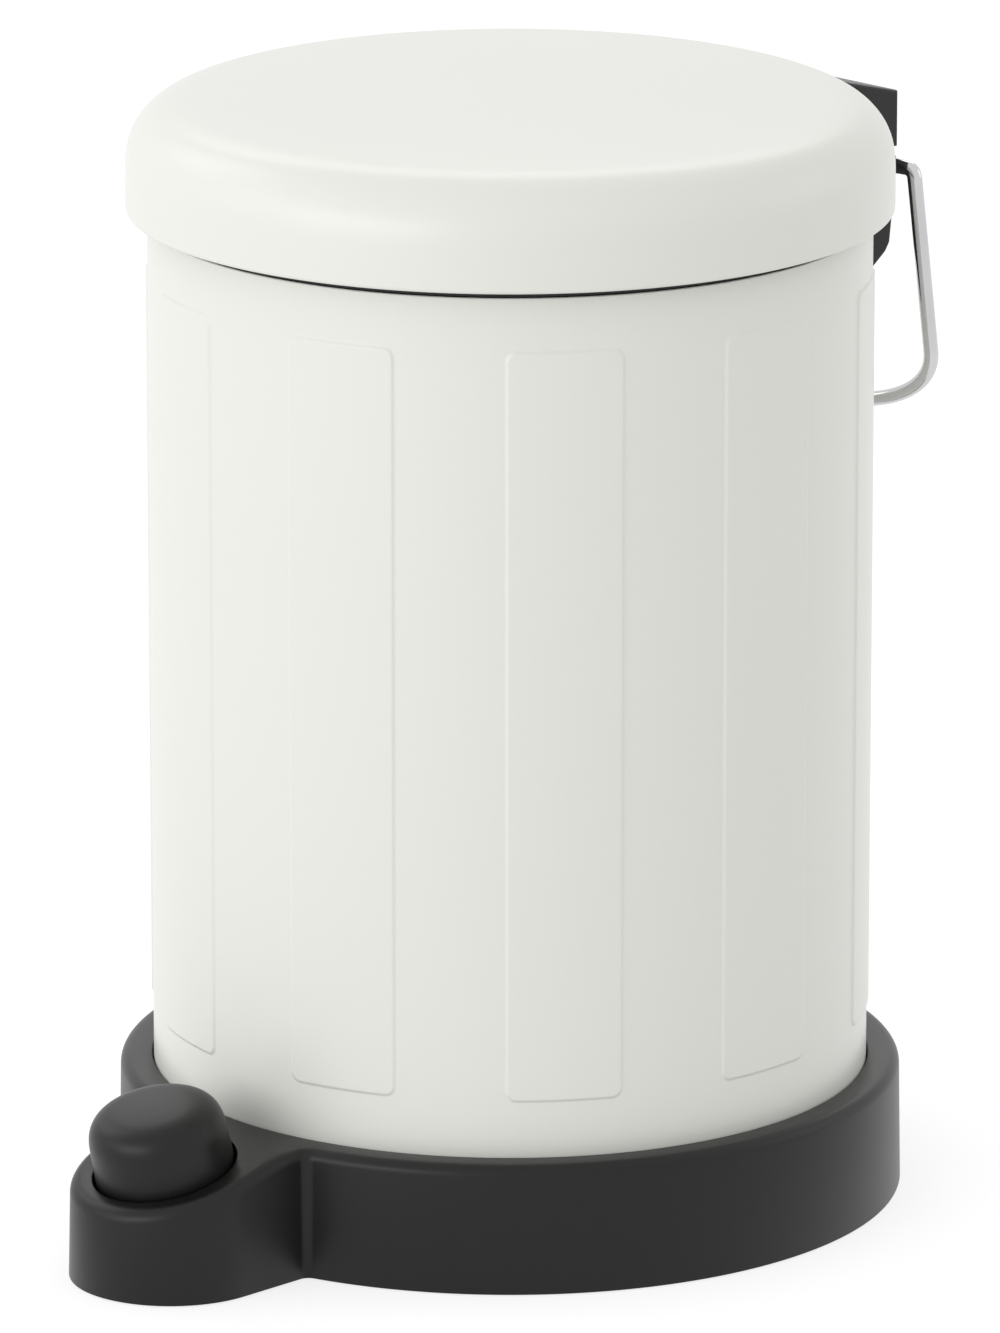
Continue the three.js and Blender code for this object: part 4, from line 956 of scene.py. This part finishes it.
# %% Push rod and its tip
ROD_TOP_Y, TIP_RADIUS = 102.25, 3.2
rod_low, rod_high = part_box("push_rod")
rod_line = [
    (0, ROD_Y, rod_low.z / MM + 0.05),
    *bezier([(0, ROD_Y, 217.0), (0, ROD_Y, 222.0), (0, ROD_Y + 3.5, 225.6)], 8),
    *bezier([(0, 100.4, 234.1), (0, ROD_TOP_Y, 236.0), (0, ROD_TOP_Y, 238.5)], 8),
    (0, ROD_TOP_Y, rod_high.z / MM - 0.02),
]
rod_skin = make_piece(
    "push_rod_skin", wire(rod_line, (1, 0, 0), 2.0), zinc_plate, "rod", ["push_rod"]
)
tip_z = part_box("rod_tip")[1].z / MM
tip_profile = [
    (0, tip_z - 2), (2.3, tip_z - 2), (2.3, tip_z - 8), (3.0, tip_z - 8),
    (TIP_RADIUS, tip_z - 7.8), *arc(0, tip_z - TIP_RADIUS, TIP_RADIUS, 0, math.pi / 2, 12),
]
tip_skin = make_piece(
    "rod_tip_skin", placed(turned(tip_profile, 48), lambda x, y, z: (x, y + ROD_TOP_Y, z)),
    black_plastic, "rod", ["rod_tip"],
)

# %% [markdown]
# ## The solids that stay
# The brackets, guides, plate, lever and screws already have the right shape. Their edges are
# only too sharp. Modifiers ease them without touching the solid itself: weld its doubled points,
# let flat neighbours become one face, and bevel what is still an edge. Last, normals weighted by
# the faces' area keep the large faces flat, so that only the narrow bevels catch the light.

# %% Ease and finish the remaining solids


def dress(name, finish, ease, segments=2):
    """A solid with its finish and with edges eased by so many millimetres."""
    node = frame["nodes"][name]
    for slot in node.material_slots:
        slot.material = finish.material
    node.data.polygons.foreach_set("use_smooth", [True] * len(node.data.polygons))
    weld = node.modifiers.new("weld", "WELD")
    weld.merge_threshold = 2e-6
    flat = node.modifiers.new("flat", "DECIMATE")
    flat.decimate_type, flat.angle_limit = "DISSOLVE", math.radians(0.6)
    soften = node.modifiers.new("soften", "BEVEL")
    soften.width, soften.segments = ease * MM, segments
    soften.limit_method, soften.angle_limit = "ANGLE", math.radians(33)
    weighted = node.modifiers.new("weighted", "WEIGHTED_NORMAL")
    weighted.mode, weighted.weight = "FACE_AREA", 50


mouldings = {
    "body_hinge_bracket": 0.6, "lid_hinge_bracket": 0.6, "rod_guide_lower": 0.4,
    "rod_guide_upper": 0.4, "base_plate": 0.4,
}
for name, ease in mouldings.items():
    dress(name, black_plastic, ease, 3)
pins = ["lever_pin", "lever_clip_left", "lever_clip_right", "hinge_pin"]
screws = [n for n in frame["nodes"] if "screw" in n]
for name in [*pins, *screws]:
    dress(name, zinc_plate, 0.15)
dress("pedal_lever", zinc_plate, 0.4)
print("dressed", len(mouldings) + len(pins) + len(screws) + 1, "solids")

# %% [markdown]
# ## Studio
# The photograph has a white ground and soft, nearly even light that is a little stronger from
# the left. The world gives the even part. Its white is seen only by the eye and in reflections,
# and the light that it sheds on the bin is set apart, so that white paint doesn't burn out.

# %% The world
scene = bpy.context.scene
scene.view_settings.view_transform = "Standard"
AMBIENT = 0.74


def seen_directly(board):
    """One where the eye, a reflection or a view through something clear meets this surface."""
    rays = board.node("ShaderNodeLightPath").socket.node.outputs
    kinds = ("Is Camera Ray", "Is Glossy Ray", "Is Transmission Ray")
    eye, gloss, clear = [Flow(board, rays[kind]) for kind in kinds]
    return eye.most(gloss).most(clear)


scene.world = bpy.data.worlds.new("studio")
scene.world.use_nodes = True
sky = Board(scene.world.node_tree)
sky_shader = sky.tree.nodes["Background"]
sky_shader.inputs["Color"].default_value = (1, 1, 1, 1)
sky.feed(sky_shader.inputs["Strength"], AMBIENT + (1 - AMBIENT) * seen_directly(sky))

print("the world sheds", AMBIENT, "of the white that it shows")

# %% [markdown]
# The floor is a plain pale sheet to the light that bounces off it. Where it is seen, it is a
# darker sheet with a glow of its own. The two add up to white in the open and to a soft grey in
# the bin's shadow.

# %% The floor
FLOOR_HALF, FLOOR_Z, FLOOR_GLOW = 15e3, -0.2, 0.74
corners = [(-1, -1), (1, -1), (1, 1), (-1, 1)]
floor_points = [(x * FLOOR_HALF, y * FLOOR_HALF, FLOOR_Z) for x, y in corners]
floor = bare("floor", (floor_points, [(0, 1, 2, 3)]))
ground = bpy.data.materials.new("ground")
ground.use_nodes = True
paper = Board(ground.node_tree)
paper.tree.nodes.clear()
plain = paper.node("ShaderNodeBsdfDiffuse", {}, {"Color": (0.78, 0.78, 0.78, 1)})
lit = paper.node("ShaderNodeBsdfDiffuse", {}, {"Color": (0.36, 0.36, 0.36, 1)})
glow = paper.node("ShaderNodeEmission", {}, {"Color": (1, 1, 1, 1), "Strength": FLOOR_GLOW})
bright = paper.node("ShaderNodeAddShader", {}, {0: lit, 1: glow})
either = paper.node("ShaderNodeMixShader", {}, {0: seen_directly(paper), 1: plain, 2: bright})
paper.node("ShaderNodeOutputMaterial", {}, {"Surface": either})
floor.data.materials.append(ground)
print("the floor's material has", len(paper.tree.nodes), "nodes")

# %% [markdown]
# The camera looks at the bin from the photograph's side, between its front and its right, and a
# little from above. It stands nearly three metres away with a long lens, so that the sides stay
# almost parallel, as they do in the photograph.

# %% Camera
AZIMUTH, PITCH, DISTANCE = math.radians(45.46), math.radians(15.46), 2.917
FRAME_HIGH, FOCAL_PIXELS, SENSOR = 1333, 11230, 36.0


def toward(turn, rise):
    """The direction that is turned from the bin's front by one angle and raised by another."""
    flat = math.cos(rise)
    return Vector((math.sin(turn) * flat, -math.cos(turn) * flat, math.sin(rise)))


right = Vector((math.cos(AZIMUTH), math.sin(AZIMUTH), 0))
back = toward(AZIMUTH, PITCH)
target = right * (-2.617 * MM) + Vector((0, 0, 137.57 * MM))
camera = bpy.data.objects.new("camera", bpy.data.cameras.new("camera"))
scene.collection.objects.link(camera)
camera.data.sensor_width = SENSOR
camera.data.lens = FOCAL_PIXELS * SENSOR / FRAME_HIGH
camera.location = target + back * DISTANCE
camera.rotation_mode = "QUATERNION"
camera.rotation_quaternion = (-back).to_track_quat("-Z", "Y")
camera.data.clip_start, camera.data.clip_end = 0.1, 60
scene.camera = camera
print("camera at", camera.location, "with a lens of", round(camera.data.lens, 1), "mm")

# %% [markdown]
# A broad soft box to the left of the camera is the main light, at little more than the bin's
# height. A weaker one further left brightens the edge on that side, two stand behind for the
# lid's back and the rim of the base, and a last one on the right keeps the far side from going
# flat. A lamp's level is the share of full white that it adds to a surface which faces it.

# %% Soft boxes


def soft_box(name, beside, above, distance, width, height, level):
    """A lamp `beside` degrees to the right of the camera, seen from the bin, and `above` it."""
    away = toward(AZIMUTH + math.radians(beside), math.radians(above))
    lamp = bpy.data.lights.new(name, "AREA")
    lamp.shape, lamp.size, lamp.size_y = "RECTANGLE", width, height
    lamp.energy = level * (math.pi * distance) ** 2
    holder = bpy.data.objects.new(name, lamp)
    scene.collection.objects.link(holder)
    holder.location = Vector((0, 0, 0.15)) + away * distance
    holder.rotation_mode = "QUATERNION"
    holder.rotation_quaternion = away.to_track_quat("Z", "Y")
    holder.visible_camera = False
    print(name, "gives", round(lamp.energy, 2), "W")


soft_box("key", -44, 14, 2.0, 1.5, 0.9, 0.235)
soft_box("side", -80, 20, 2.2, 1.2, 1.2, 0.055)
soft_box("back_left", -124, 38, 2.2, 0.9, 0.9, 0.06)
soft_box("back_top", 180, 40, 2.2, 1.6, 0.7, 0.09)
soft_box("fill", 100, 20, 2.2, 1.2, 1.2, 0.05)
